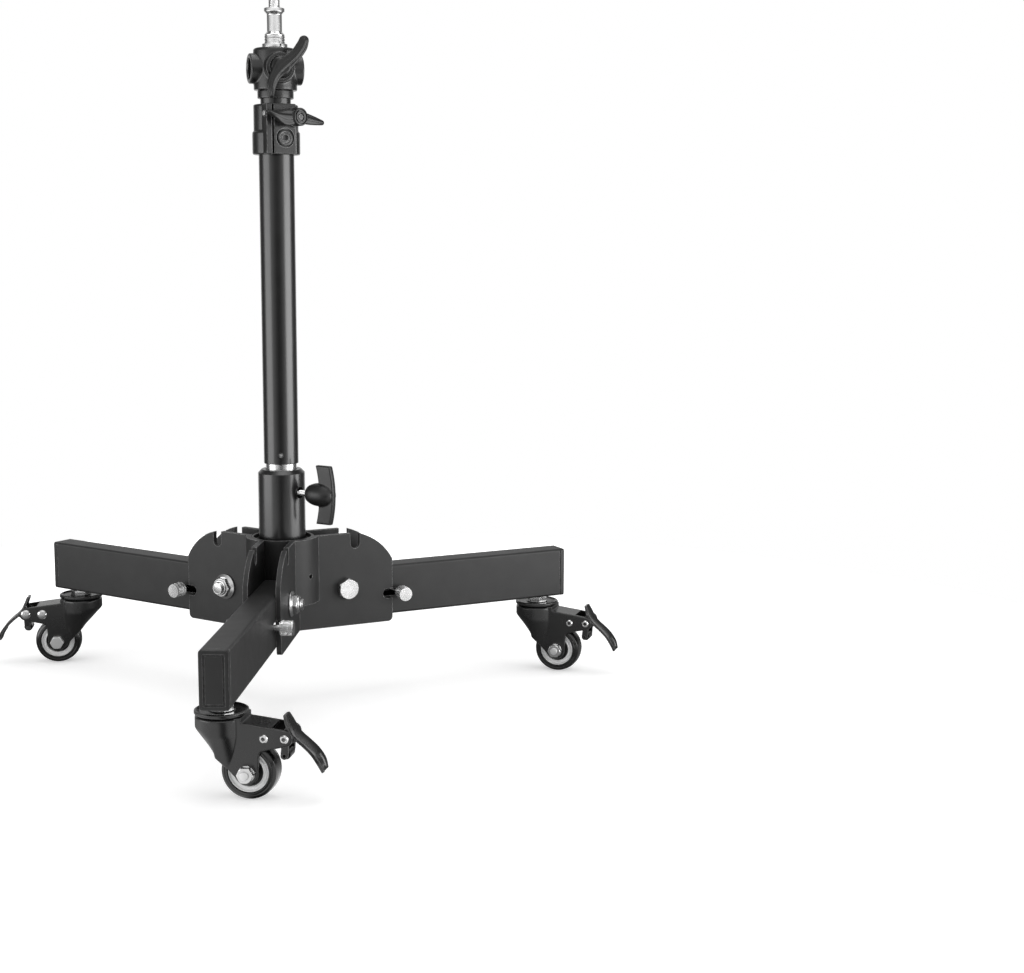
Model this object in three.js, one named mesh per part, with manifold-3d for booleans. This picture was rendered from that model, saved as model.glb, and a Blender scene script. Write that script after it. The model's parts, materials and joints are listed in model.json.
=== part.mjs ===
// A low roller stand for lights: a short telescopic column on a folding three-leg base with braked casters.
// Millimetres, +Z up. The front leg points along -Y. The origin is the bottom centre of the whole stand.
import * as THREE from 'three';
import { mergeVertices } from 'three/addons/utils/BufferGeometryUtils.js';
import Module from 'manifold-3d';

const wasm = await Module();
wasm.setup();

// Clearances and overruns
const gap = 0.3;
const looseGap = 0.6;
const overrun = 2;

// Fineness of round shapes, in sides per turn, and of curves, in steps
const fineSides = 24;
const wheelSides = 20;
const sides = 16;
const boltSides = 12;
const smallSides = 8;
const hexSides = 6;
const curveSteps = 8;
const arcSteps = 4;
const roundSteps = 3;
const cornerSteps = 2;
const pedalSteps = 10;
const leverSteps = 16;

// Legs
const legCount = 3;
const legHeight = 42;
const legWidth = 21;
const legWall = 1.5;
const legCornerRadius = 2.2;
const legEndRadius = 260;
const legInsidePivot = 18.5;
const legAzimuths = [-90, 150, 30];
const capThickness = 4;
const capPlugDepth = 6;
const capPanelDepth = 1;
const capPanelMargin = 4.2;
const capStepWidth = 1.2;

// Casters
const wheelRadius = 20;
const wheelWidth = 17;
const tyreBoreRadius = 14.5;
const tyreLip = 1;
const tyreLipDepth = 2;
const tyreRound = 4;
const hubRingRadius = 10.5;
const hubRecess = 3;
const hubBossRadius = 6.5;
const wheelTrail = 20.7;
const wheelHeadroom = 16.5;
const raceThickness = 3;
const raceOverhang = 0.5;
const stemRadius = 5;
const stemLength = 13;
const stemNutHeight = 4;
const stemNutFlats = 15;
const stemFromLegEnd = 22;
const kingpinRadius = 4;
const kingpinHeadRadius = 6.5;
const kingpinHeadHeight = 2.2;
const forkWall = 2.2;
const forkBackWall = 4.4;
const forkClearance = 1.3;
const forkTopRadius = 18.3;
const forkTopHeight = 6;
const forkCupRise = 12;
const axleRadius = 3;
const axleNutFlats = 10.5;
const axleNutHeight = 5;
const axleEndLength = 2;
const rivetRadius = 2;
const rivetHeadRadius = 2.9;
const rivetHeadHeight = 1.2;
const casterAzimuths = [-6, 190, -14];

// Fork side outline, out from the axle and up from it or down from the fork's top
const forkBackDrop = 12.2;
const forkLobeRadius = 8.2;
const forkLobeStart = 225;
const forkLobeEnd = 368;
const forkThroatReach = 8.9;
const forkThroatRise = 15.8;
const forkArmClearance = 6.8;
const forkArmRise = 5.6;
const forkArmRadius = 5.6;
const forkArmStart = -80;
const forkArmEnd = 80;
const forkShoulderReach = 17.3;
const forkShoulderDrop = 6.1;
const forkShelfInset = 1;
const forkShelfDrop = 3.6;
const springRivetReach = 12.4;
const springRivetRise = 5.2;

// Brake pedal, with its line from the pivot as shares of its reach
const pedalReach = 27;
const pedalShares = [
  [-0.056, 0.537],
  [0.03, 0.315],
  [0.148, 0.089],
  [0.304, -0.074],
  [0.48, -0.22],
  [0.68, -0.415],
  [0.845, -0.66],
  [0.933, -0.89],
];
const pedalEarFirst = 1;
const pedalEarLast = 3;
const pedalPlateThickness = 2.2;
const pedalWidth = 17;
const pedalEarRadius = 4.4;
const pedalEarThickness = 2.4;
const pedalEarStart = 110;
const pedalEarEnd = 270;
const padRadius = 3.7;
const padPinRadius = 1.6;
const padArmWidth = 5.1;
const padDrop = 12.6;
const padBack = 1;
const padWidth = 11;

// Lock pins
const pinRadius = 2.5;
const pinDrop = 8;
const pinLockedReach = 37;
const pinSeatShare = 0.7;
const notchWidth = 8.4;
const notchDepth = 4.5;
const knobRadius = 6.2;
const knobLength = 10.5;
const knobStandOff = 0.6;
const slotPlay = 0.6;

// Hub
const plateThickness = 4;
const plateArcRise = 21.6;
const plateTopDrop = 0.8;
const plateBelowLeg = 5;
const plateCornerRadius = 4;
const bulgeDrop = 23;
const hubTubeWall = 6;
const hubTubeRim = 2;
const hubTubeRecess = 3.5;
const setScrewRadius = 2;
const pivotFromHub = 24.7;
const pivotDrop = 15;
const pivotBoltRadius = 5;
const boltHeadFlats = 16;
const boltHeadHeight = 6.4;
const nutFlats = 15;
const nutHeight = 7.5;
const nutFlangeRadius = 10.6;
const nutFlangeHeight = 1.8;
const boltEndLength = 3;

// Base socket and its knob
const socketWall = 6.2;
const socketInHub = 26.5;
const socketLength = 85.5;
const socketChamfer = 3;
const socketFloorThickness = 4;
const socketKnobDrop = 18.5;
const socketKnobAzimuth = -28;
const knobStudRadius = 2.8;
const knobStudShown = 8;
const knobRecessRadius = 4.3;
const knobRecessDepth = 3;
const knobEggLength = 25;
const knobEggRadius = 9.4;
const knobEggShares = [[0, 0.46], [0.12, 0.74], [0.3, 0.94], [0.5, 1], [0.72, 0.93], [0.9, 0.7], [1, 0.4]];
const knobBarProud = 1.3;
const knobBarLength = 48;
const knobBarDepth = 14;
const knobBarThickness = 5;
const knobBarBow = 3.3;

// Column
const columnRadius = 14;
const columnWall = 1.2;
const columnLength = 261.1;
const columnInClamp = 15;
const columnNeck = 4.7;
const baseSpigotInTube = 34;
const tubeHoleRise = 7.8;
const tubeHoleRadius = 2;
const tubeHoleAzimuth = -80;
const innerTubePlay = 0.8;
const innerTubeWall = 1.5;
const innerTubeRoom = 4.8;
const innerTubeNeck = 4.6;
const innerTubeInHead = 5;

// Telescope clamp
const clampHeight = 38.9;
const clampWall = 3.3;
const clampBandStep = 1.2;
const clampBandHeight = 18;
const clampBossAzimuth = -59;
const clampBossWidth = 18.4;
const clampBossStep = 1.6;
const clampSplitWidth = 1.4;
const clampSplitInside = 6;
const clampScrewHeight = 12.6;
const clampScrewHeadRadius = 5.4;
const clampScrewRecessRadius = 7;
const clampScrewRecessDepth = 2.4;
const clampScrewSocketFlats = 4.6;
const clampScrewSocketDepth = 1.8;
const clampLeverAzimuth = -40;
const clampLeverDrop = 10.4;
const clampLeverBossStep = 2.2;
const clampLeverBossRadius = 7.5;
const clampLeverHubRadius = 6.2;
const clampLeverHubLength = 8;
const clampLeverThickness = 5;
const clampStudRadius = 3;
const clampLeverReach = 29;
const clampLeverShares = [
  [-1, 0.1, 0.05],
  [-0.76, 0.03, 0.1],
  [-0.42, -0.03, 0.22],
  [0, 0, 0.17],
  [0.45, -0.06, 0.13],
  [0.82, -0.11, 0.07],
];
const clampEarWidth = 4.3;
const clampEarStep = 1;
const clampBoltRadius = 2;
const clampBoltHeadRadius = 3;
const clampBoltHeadHeight = 1.6;
const clampBoltInBoss = 10.7;
const clampBoltCover = 1.1;
const clampBoltDrop = 7.9;

// Head
const headHeight = 32.4;
const headWall = 4.7;
const headEdgeRound = 2;
const headEdgeShare = 0.3;
const headBossWall = 3.6;
const headBossStep = 4;
const headBossShare = 0.506;
const headWeb = 2.3;
const headFloor = 8.4;
const headAzimuth = -67;
const headSocketPlay = 0.1;
const headCollarWall = 1.9;
const headCollarHeight = 6;
const headLeverStudRadius = 3;
const headLeverHubRadius = 6.4;
const headLeverHubLength = 8.5;
const headLeverStandOff = 1.6;
const headLeverThickness = 5.6;
const headLeverReach = 27;
const headLeverShares = [
  [0.66, 0.8, 0.09],
  [0.57, 0.58, 0.14],
  [0.34, 0.27, 0.15],
  [0, 0, 0.17],
  [-0.2, -0.22, 0.14],
  [-0.32, -0.52, 0.13],
  [-0.33, -0.8, 0.08],
];

// Spigot with its thread
const spigotRadius = 8;
const spigotFlangeStep = 2;
const spigotFlangeHeight = 3;
const spigotLowerHeight = 6.6;
const spigotWaistDepth = 2.1;
const spigotWaistHeight = 13;
const spigotTaperHeight = 2.6;
const spigotUpperHeight = 2.6;
const threadRadius = 4.76;
const threadDepth = 0.9;
const threadPitch = 1.5875;
const threadTurns = 4;

// Worked out from the driving dimensions: radii
const columnBoreRadius = columnRadius - columnWall;
const baseSpigotRadius = columnBoreRadius - gap;
const innerTubeRadius = columnBoreRadius - innerTubePlay;
const socketBoreRadius = baseSpigotRadius + gap;
const socketRadius = socketBoreRadius + socketWall;
const hubTubeRadius = socketRadius + gap + hubTubeWall;
const bulgeInnerRadius = hubTubeRadius + gap;
const bulgeOuterRadius = bulgeInnerRadius + plateThickness;
const clampRadius = columnRadius + gap + clampWall;
const clampBandRadius = clampRadius + clampBandStep;
const clampBossFace = clampBandRadius + clampBossStep;
const clampEarFace = clampBossFace - clampEarStep;
const clampLeverFace = clampBossFace + clampLeverBossStep;
const clampBoltReach = innerTubeRadius + gap + clampBoltCover + clampBoltRadius;
const headRadius = innerTubeRadius + gap + headWall;
const headBossReach = headRadius + headBossStep;
const headSocketRadius = spigotRadius + headSocketPlay;
const headSocketFloor = spigotRadius + gap + headWeb;
const headBossRadius = headSocketRadius + headBossWall;

// Worked out from the driving dimensions: across and along a leg, from the column's axis
const cheekInner = legWidth / 2 + gap;
const cheekOuter = cheekInner + plateThickness;
const pivotRadialPlace = hubTubeRadius + pivotFromHub;
const legInnerRadius = pivotRadialPlace - legInsidePivot;
const stemRadialPlace = legEndRadius - stemFromLegEnd;
const plateEdgeReach = pinLockedReach + notchDepth;
const plateArcRadius = Math.hypot(plateEdgeReach, plateArcRise);
const pinFreeReach = Math.sqrt((plateArcRadius + pinRadius + gap) ** 2 - pinDrop ** 2);

// Worked out from the driving dimensions: a caster, up from the floor and out from its stem
const axleHeight = wheelRadius;
const forkTop = axleHeight + wheelRadius + wheelHeadroom + forkWall;
const raceBottom = forkTop + gap;
const raceRadius = forkTopRadius + raceOverhang;
const casterHeight = raceBottom + raceThickness;
const forkInnerHalf = wheelWidth / 2 + forkClearance;
const forkOuterHalf = forkInnerHalf + forkWall;
const forkArmX = wheelTrail + wheelRadius + forkArmClearance;
const forkArmZ = axleHeight + wheelRadius + forkArmRise;
const forkShoulderX = wheelTrail + forkShoulderReach;
const forkShoulderZ = forkTop - forkShoulderDrop;
const forkShelfX = forkTopRadius - forkShelfInset;
const forkShelfZ = forkTop - forkShelfDrop;
const legBottom = casterHeight + stemNutHeight;
const legTop = legBottom + legHeight;

// Worked out from the driving dimensions: heights above the top of the legs
const plateTop = plateArcRadius - pivotDrop - plateTopDrop;
const plateBottom = -legHeight - plateBelowLeg;
const hubTubeStep = plateTop - hubTubeRecess;
const socketBottom = hubTubeStep - socketInHub;
const socketFloor = socketBottom + socketFloorThickness;
const socketTop = socketBottom + socketLength;
const socketKnobHeight = socketTop - socketKnobDrop;
const columnBottom = socketTop + columnNeck;
const columnTop = columnBottom + columnLength;
const baseSpigotTop = columnBottom + baseSpigotInTube;
const clampBottom = columnTop - columnInClamp;
const clampTop = clampBottom + clampHeight;
const headBottom = clampTop + innerTubeNeck + headCollarHeight + gap;
const headTop = headBottom + headHeight;
const headBossHeight = headBottom + headHeight * headBossShare;
const spigotBottom = headBottom + headFloor;

const halfSpacing = 180 / legCount;

const degrees = THREE.MathUtils.degToRad;

// Solid helpers

// A closed solid from a three.js geometry, with shared vertices merged and faces turned outwards
function solid(geometry) {
  const bare = geometry.clone();
  bare.deleteAttribute('normal');
  bare.deleteAttribute('uv');
  const merged = mergeVertices(bare);
  const places = merged.attributes.position.array;
  const index = merged.index.array;
  const kept = [];
  let volume = 0;
  for (let i = 0; i < index.length; i += 3) {
    const [a, b, c] = [index[i], index[i + 1], index[i + 2]];
    if (a === b || b === c || c === a) continue;
    kept.push(a, b, c);
    const p = new THREE.Vector3().fromArray(places, 3 * a);
    const q = new THREE.Vector3().fromArray(places, 3 * b);
    const r = new THREE.Vector3().fromArray(places, 3 * c);
    volume += p.dot(q.cross(r));
  }
  if (volume < 0) {
    for (let i = 0; i < kept.length; i += 3) {
      const swapped = kept[i];
      kept[i] = kept[i + 1];
      kept[i + 1] = swapped;
    }
  }
  const mesh = new wasm.Mesh({ numProp: 3, vertProperties: places, triVerts: new Uint32Array(kept) });
  return new wasm.Manifold(mesh);
}

function join(...solids) {
  return solids.reduce((whole, piece) => whole.add(piece));
}

function cut(body, ...tools) {
  return tools.reduce((whole, tool) => whole.subtract(tool), body);
}

// A geometry from a solid, with flat faces
function geometryOf(body) {
  const mesh = body.getMesh();
  const geometry = new THREE.BufferGeometry();
  geometry.setAttribute('position', new THREE.BufferAttribute(new Float32Array(mesh.vertProperties), 3));
  geometry.setIndex(new THREE.BufferAttribute(new Uint32Array(mesh.triVerts), 1));
  return geometry;
}

// A cylinder along +Z from bottom to top
function rod(radius, bottom, top, count = sides) {
  const geometry = new THREE.CylinderGeometry(radius, radius, top - bottom, count);
  geometry.rotateX(Math.PI / 2);
  geometry.translate(0, 0, (bottom + top) / 2);
  return geometry;
}

// A cylinder along +X from start to end
function rodAlongX(radius, start, end, count = sides) {
  const geometry = rod(radius, start, end, count);
  geometry.rotateY(Math.PI / 2);
  return geometry;
}

// A cylinder along +Y from start to end
function rodAlongY(radius, start, end, count = sides) {
  const geometry = rod(radius, start, end, count);
  geometry.rotateX(-Math.PI / 2);
  return geometry;
}

// A hexagonal prism along +Z from bottom to top, given its size across the flats
function hexagon(flats, bottom, top) {
  return rod(flats / Math.sqrt(3), bottom, top, hexSides);
}

// A solid turned around the Z axis from [radius, height] points
function turned(points, count = sides) {
  const profile = points.map(([radius, height]) => new THREE.Vector2(radius, height));
  const geometry = new THREE.LatheGeometry(profile, count);
  geometry.rotateX(Math.PI / 2);
  return geometry;
}

// A tube around the Z axis, as a profile that closes on itself
function tube(outer, inner, bottom, top, count = sides) {
  return turned([[inner, bottom], [outer, bottom], [outer, top], [inner, top], [inner, bottom]], count);
}

// A flat shape given a thickness along +Z
function slab(shape, thickness, steps = curveSteps) {
  return new THREE.ExtrudeGeometry(shape, { depth: thickness, bevelEnabled: false, curveSegments: steps });
}

// A shape drawn in the XZ plane, given a thickness along Y from start to end
function sideSlab(shape, start, end, steps = curveSteps) {
  const geometry = slab(shape, end - start, steps);
  geometry.rotateX(Math.PI / 2);
  geometry.translate(0, end, 0);
  return geometry;
}

function box(width, depth, height, x = 0, y = 0, z = 0) {
  const geometry = new THREE.BoxGeometry(width, depth, height);
  geometry.translate(x, y, z);
  return geometry;
}

function roundedRectangle(width, height, radius) {
  const [w, h] = [width / 2, height / 2];
  const shape = new THREE.Shape();
  shape.moveTo(-w + radius, -h);
  shape.lineTo(w - radius, -h);
  shape.absarc(w - radius, -h + radius, radius, -Math.PI / 2, 0);
  shape.lineTo(w, h - radius);
  shape.absarc(w - radius, h - radius, radius, 0, Math.PI / 2);
  shape.lineTo(-w + radius, h);
  shape.absarc(-w + radius, h - radius, radius, Math.PI / 2, Math.PI);
  shape.lineTo(-w, -h + radius);
  shape.absarc(-w + radius, -h + radius, radius, Math.PI, Math.PI * 1.5);
  return shape;
}

// A slot with round ends from start to end along the shape's first axis
function slotShape(start, end, height, width) {
  const radius = width / 2;
  const shape = new THREE.Shape();
  shape.moveTo(start, height - radius);
  shape.lineTo(end, height - radius);
  shape.absarc(end, height, radius, -Math.PI / 2, Math.PI / 2);
  shape.lineTo(start, height + radius);
  shape.absarc(start, height, radius, Math.PI / 2, Math.PI * 1.5);
  return shape;
}

function moved(geometry, x, y, z) {
  return geometry.clone().translate(x, y, z);
}

function turnedAboutZ(geometry, angle) {
  return geometry.clone().rotateZ(degrees(angle));
}

// Materials
function finish(colour, roughness, metalness) {
  return () => new THREE.MeshStandardMaterial({ color: colour, roughness, metalness });
}

const blackCoat = finish(0x1d1d1f, 0.5, 0.2);
const blackTube = finish(0x18181a, 0.35, 0.4);
const blackCast = finish(0x202022, 0.55, 0.1);
const blackPlastic = finish(0x141415, 0.6, 0);
const blackRubber = finish(0x0d0d0e, 0.8, 0);
const chrome = finish(0xd4d6da, 0.15, 1);
const zinc = finish(0xbfc2c6, 0.35, 1);
const paleRim = finish(0xc8cacc, 0.4, 0.6);

const stand = new THREE.Group();

// Puts a named mesh of a solid or a geometry into a group
function add(group, name, body, material) {
  const geometry = body instanceof wasm.Manifold ? geometryOf(body) : geometryOf(solid(body));
  const mesh = new THREE.Mesh(geometry, material());
  mesh.name = name;
  group.add(mesh);
  return mesh;
}

// Hub plates: a V of two cheeks, pressed out into a half tube around the hub tube

// Cheek outline, along the leg from the column axis and up from the leg's top, over the plate's flat top
function cheekOutline() {
  const edgeAngle = Math.acos(plateEdgeReach / plateArcRadius);
  const start = bulgeInnerRadius;
  const notchReach = pinDrop + notchWidth / 2;
  const topAngle = Math.acos(notchReach / plateArcRadius);
  const cornerX = pivotRadialPlace + plateEdgeReach - plateCornerRadius;
  const shape = new THREE.Shape();
  shape.moveTo(start, plateBottom);
  shape.lineTo(cornerX, plateBottom);
  shape.absarc(cornerX, plateBottom + plateCornerRadius, plateCornerRadius, -Math.PI / 2, 0);
  shape.absarc(pivotRadialPlace, -pivotDrop, plateArcRadius, edgeAngle, topAngle);
  shape.lineTo(pivotRadialPlace + notchReach - notchWidth, plateTop + overrun);
  shape.lineTo(start, plateTop + overrun);
  return shape;
}

function cheek(side) {
  const near = side * cheekInner;
  const far = side * cheekOuter;
  const outline = sideSlab(cheekOutline(), Math.min(near, far), Math.max(near, far), arcSteps);
  const reach = cheekOuter + overrun;
  const topNotch = slotShape(pinLockedReach - pivotDrop, plateTop + notchWidth, 0, notchWidth);
  const topTool = sideSlab(topNotch, -reach, reach, roundSteps);
  topTool.rotateY(-Math.PI / 2);
  topTool.translate(pivotRadialPlace + pinDrop, 0, 0);
  const edgeStart = pivotRadialPlace + pinLockedReach;
  const edgeEnd = edgeStart + notchDepth + notchWidth;
  const edgeNotch = slotShape(edgeStart, edgeEnd, -pivotDrop - pinDrop, notchWidth);
  const edgeTool = sideSlab(edgeNotch, -reach, reach, roundSteps);
  const hole = moved(rodAlongY(pivotBoltRadius + gap, -reach, reach), pivotRadialPlace, 0, -pivotDrop);
  return cut(solid(outline), solid(topTool), solid(edgeTool), solid(hole));
}

// A point of the hub's plan beside the leg on one side of a V plate, with the V's bisector along +X
function besideLeg(along, across, side) {
  const angle = side * degrees(halfSpacing);
  const [c, s] = [Math.cos(angle), Math.sin(angle)];
  const inward = -side * across;
  return new THREE.Vector2(along * c - inward * s, along * s + inward * c);
}

// Plan of the pressed-out half tube, between the two cheeks
function bulgePlan() {
  const outerReach = Math.sqrt(bulgeOuterRadius ** 2 - cheekOuter ** 2);
  const innerReach = Math.sqrt(bulgeInnerRadius ** 2 - cheekInner ** 2);
  const wing = bulgeInnerRadius + overrun;
  const outerStart = besideLeg(outerReach, cheekOuter, -1);
  const innerStart = besideLeg(innerReach, cheekInner, 1);
  const outerAngle = Math.atan2(outerStart.y, outerStart.x);
  const innerAngle = Math.atan2(innerStart.y, innerStart.x);
  const shape = new THREE.Shape();
  const first = besideLeg(wing, cheekInner, -1);
  shape.moveTo(first.x, first.y);
  const second = besideLeg(wing, cheekOuter, -1);
  shape.lineTo(second.x, second.y);
  shape.absarc(0, 0, bulgeOuterRadius, outerAngle, -outerAngle);
  const third = besideLeg(wing, cheekOuter, 1);
  shape.lineTo(third.x, third.y);
  const fourth = besideLeg(wing, cheekInner, 1);
  shape.lineTo(fourth.x, fourth.y);
  shape.absarc(0, 0, bulgeInnerRadius, innerAngle, -innerAngle, true);
  return shape;
}

// Plan of the plain bend below the half tube
function bendPlan() {
  const wing = bulgeInnerRadius + overrun;
  const lean = Math.sin(degrees(halfSpacing));
  return new THREE.Shape([
    besideLeg(wing, cheekInner, -1),
    besideLeg(wing, cheekOuter, -1),
    new THREE.Vector2(cheekOuter / lean, 0),
    besideLeg(wing, cheekOuter, 1),
    besideLeg(wing, cheekInner, 1),
    new THREE.Vector2(cheekInner / lean, 0),
  ]);
}

function hubPlate() {
  const right = turnedAboutZ(geometryOf(cheek(1)), -halfSpacing);
  const left = turnedAboutZ(geometryOf(cheek(-1)), halfSpacing);
  const bulgeBottom = -bulgeDrop - gap;
  const bulge = moved(slab(bulgePlan(), plateTop + overrun - bulgeBottom, arcSteps), 0, 0, bulgeBottom);
  const bend = moved(slab(bendPlan(), -bulgeDrop - plateBottom), 0, 0, plateBottom);
  const wide = 2 * (pivotRadialPlace + plateArcRadius);
  const above = box(wide, wide, wide, 0, 0, plateTop + wide / 2);
  const hole = rodAlongX(setScrewRadius, bulgeInnerRadius - overrun, bulgeOuterRadius + overrun, smallSides);
  return cut(join(solid(right), solid(left), solid(bulge), solid(bend)), solid(hole), solid(above));
}

const hub = new THREE.Group();
hub.position.z = legTop;
stand.add(hub);

const plateGeometry = hubPlate();
for (let i = 0; i < legCount; i += 1) {
  const place = new THREE.Group();
  place.rotation.z = degrees(legAzimuths[i] + halfSpacing);
  hub.add(place);
  add(place, `hub_plate_${i + 1}`, plateGeometry, blackCoat);
}

const hubTube = tube(hubTubeRadius, socketRadius + gap, gap - bulgeDrop, plateTop, fineSides);
const hubTubeMouth = rod(hubTubeRadius - hubTubeRim, hubTubeStep, plateTop + overrun, fineSides);
const setScrewBores = [];
for (const azimuth of legAzimuths) {
  const bore = rodAlongX(setScrewRadius, socketRadius - overrun, hubTubeRadius + overrun, smallSides);
  setScrewBores.push(solid(turnedAboutZ(bore, azimuth + halfSpacing)));
}
add(hub, 'hub_tube', cut(solid(hubTube), solid(hubTubeMouth), ...setScrewBores), blackCoat);

// Base socket: a thick sleeve whose bore takes the column's spigot
const socketProfile = [
  [0, socketBottom],
  [socketRadius, socketBottom],
  [socketRadius, socketTop - socketChamfer],
  [socketRadius - socketChamfer, socketTop],
  [socketBoreRadius, socketTop],
  [socketBoreRadius, socketFloor],
  [0, socketFloor],
];
const knobBore = rodAlongX(knobStudRadius + gap, 0, socketRadius + overrun, smallSides);
const knobRecess = rodAlongX(knobRecessRadius, socketRadius - knobRecessDepth, socketRadius + overrun);
const socketSolid = cut(
  solid(turned(socketProfile, fineSides)),
  solid(turnedAboutZ(moved(knobBore, 0, 0, socketKnobHeight), socketKnobAzimuth)),
  solid(turnedAboutZ(moved(knobRecess, 0, 0, socketKnobHeight), socketKnobAzimuth)),
);
add(hub, 'base_socket', socketSolid, blackTube);

// Wing knob of the base socket, along +X in its own frame
function socketKnob() {
  const eggStart = socketRadius + knobStudShown;
  const stud = rodAlongX(knobStudRadius, socketBoreRadius + gap, eggStart + overrun, smallSides);
  const eggPoints = knobEggShares.map(([along, across]) => [across * knobEggRadius, along * knobEggLength]);
  const egg = turned([[0, 0], ...eggPoints, [0, knobEggLength]]);
  egg.rotateY(Math.PI / 2);
  egg.translate(eggStart, 0, 0);
  const half = knobBarLength / 2;
  const front = eggStart + knobEggLength + knobBarProud;
  const back = front - knobBarDepth;
  const bar = new THREE.Shape();
  bar.moveTo(back - knobBarBow, -half);
  bar.quadraticCurveTo(back + knobBarBow, 0, back - knobBarBow, half);
  bar.lineTo(front - knobBarBow, half);
  bar.quadraticCurveTo(front + knobBarBow, 0, front - knobBarBow, -half);
  const wing = sideSlab(bar, -knobBarThickness / 2, knobBarThickness / 2);
  return join(solid(stud), solid(egg), solid(wing));
}

const socketKnobPlace = new THREE.Group();
socketKnobPlace.rotation.z = degrees(socketKnobAzimuth);
socketKnobPlace.position.z = socketKnobHeight;
hub.add(socketKnobPlace);
add(socketKnobPlace, 'socket_knob', socketKnob(), blackPlastic);

// Pivot bolts and their flange nuts, across each leg
function pivotBolt() {
  const head = hexagon(boltHeadFlats, cheekOuter + gap, cheekOuter + gap + boltHeadHeight);
  const end = cheekOuter + gap + nutHeight + boltEndLength;
  const shank = rod(pivotBoltRadius, -end, cheekOuter + gap + overrun);
  const bolt = geometryOf(join(solid(head), solid(shank)));
  return bolt.rotateX(Math.PI / 2);
}

function pivotNut() {
  const start = cheekOuter + gap;
  const body = hexagon(nutFlats, start, start + nutHeight);
  const flange = rod(nutFlangeRadius, start, start + nutFlangeHeight);
  const bore = rod(pivotBoltRadius + gap, start - overrun, start + nutHeight + overrun);
  const nut = geometryOf(cut(join(solid(body), solid(flange)), solid(bore)));
  return nut.rotateX(-Math.PI / 2);
}

// Lock pins: a cross pin in the leg's slots, with a knurled knob on each end
function pinWithKnob() {
  const start = cheekOuter + knobStandOff;
  const pin = rod(pinRadius, -(start + knobLength * pinSeatShare), start + overrun, smallSides);
  const knob = rod(knobRadius, start, start + knobLength);
  return geometryOf(join(solid(pin), solid(knob))).rotateX(Math.PI / 2);
}

function farKnob() {
  const start = cheekOuter + knobStandOff;
  const knob = rod(knobRadius, start, start + knobLength);
  const bore = rod(pinRadius + gap, start - overrun, start + knobLength * pinSeatShare + gap, smallSides);
  return geometryOf(cut(solid(knob), solid(bore))).rotateX(-Math.PI / 2);
}

// Leg tube along +X, with its bolt hole, pin slots and stem hole
function legTube() {
  const length = legEndRadius - capThickness - gap - legInnerRadius;
  const outer = slab(roundedRectangle(legHeight, legWidth, legCornerRadius), length, cornerSteps);
  const innerHeight = legHeight - 2 * legWall;
  const innerWidth = legWidth - 2 * legWall;
  const innerShape = roundedRectangle(innerHeight, innerWidth, legCornerRadius - legWall + gap);
  const inner = moved(slab(innerShape, length + 2 * overrun, 1), 0, 0, -overrun);
  for (const geometry of [outer, inner]) {
    geometry.rotateY(Math.PI / 2);
    geometry.translate(legInnerRadius, 0, -legHeight / 2);
  }
  const reach = legWidth / 2 + overrun;
  const boltHole = moved(rodAlongY(pivotBoltRadius + gap, -reach, reach), pivotRadialPlace, 0, -pivotDrop);
  const slotStart = pivotRadialPlace + pinLockedReach;
  const slotEnd = pivotRadialPlace + pinFreeReach;
  const slotWidth = 2 * (pinRadius + slotPlay);
  const slot = slotShape(slotStart, slotEnd, -pivotDrop - pinDrop, slotWidth);
  const slots = sideSlab(slot, -reach, reach, roundSteps);
  const stemHole = rod(stemRadius + gap, -legHeight - overrun, -legHeight + legWall + overrun);
  return cut(solid(outer), solid(inner), solid(boltHole), solid(slots),
    solid(moved(stemHole, stemRadialPlace, 0, 0)));
}

// End cap: a face plate with a stepped panel, and a plug inside the tube
function legCap() {
  const face = slab(roundedRectangle(legHeight, legWidth, legCornerRadius), capThickness, cornerSteps);
  const plugHeight = legHeight - 2 * legWall - 2 * gap;
  const plugWidth = legWidth - 2 * legWall - 2 * gap;
  const plugShape = roundedRectangle(plugHeight, plugWidth, legCornerRadius);
  const plug = moved(slab(plugShape, capPlugDepth + capThickness / 2, 1), 0, 0, -capPlugDepth);
  const panelHeight = legHeight - 2 * capPanelMargin;
  const panelWidth = legWidth - 2 * capPanelMargin;
  const groove = slab(roundedRectangle(panelHeight, panelWidth, legCornerRadius), capThickness, 1);
  const panelShape = roundedRectangle(panelHeight - 2 * capStepWidth, panelWidth - 2 * capStepWidth,
    legCornerRadius - capStepWidth / 2);
  const panel = slab(panelShape, capThickness - capPanelDepth / 2, 1);
  const ring = cut(solid(moved(groove, 0, 0, capThickness - capPanelDepth)), solid(panel));
  const cap = geometryOf(cut(join(solid(face), solid(plug)), ring));
  cap.rotateY(Math.PI / 2);
  cap.translate(legEndRadius - capThickness, 0, -legHeight / 2);
  return cap;
}

// Caster pieces, with the stem axis on Z, the floor at zero and the wheel trailing along +X

function casterStem() {
  const headHigh = forkTop - forkWall - gap;
  const headLow = headHigh - kingpinHeadHeight;
  const profile = [
    [0, headLow],
    [kingpinHeadRadius, headLow],
    [kingpinHeadRadius, headHigh],
    [kingpinRadius, headHigh],
    [kingpinRadius, raceBottom],
    [raceRadius, raceBottom],
    [raceRadius, casterHeight],
    [stemRadius, casterHeight],
    [stemRadius, legBottom + stemLength],
    [0, legBottom + stemLength],
  ];
  const nut = hexagon(stemNutFlats, casterHeight - gap, legBottom - gap);
  return join(solid(turned(profile, wheelSides)), solid(nut));
}

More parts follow.
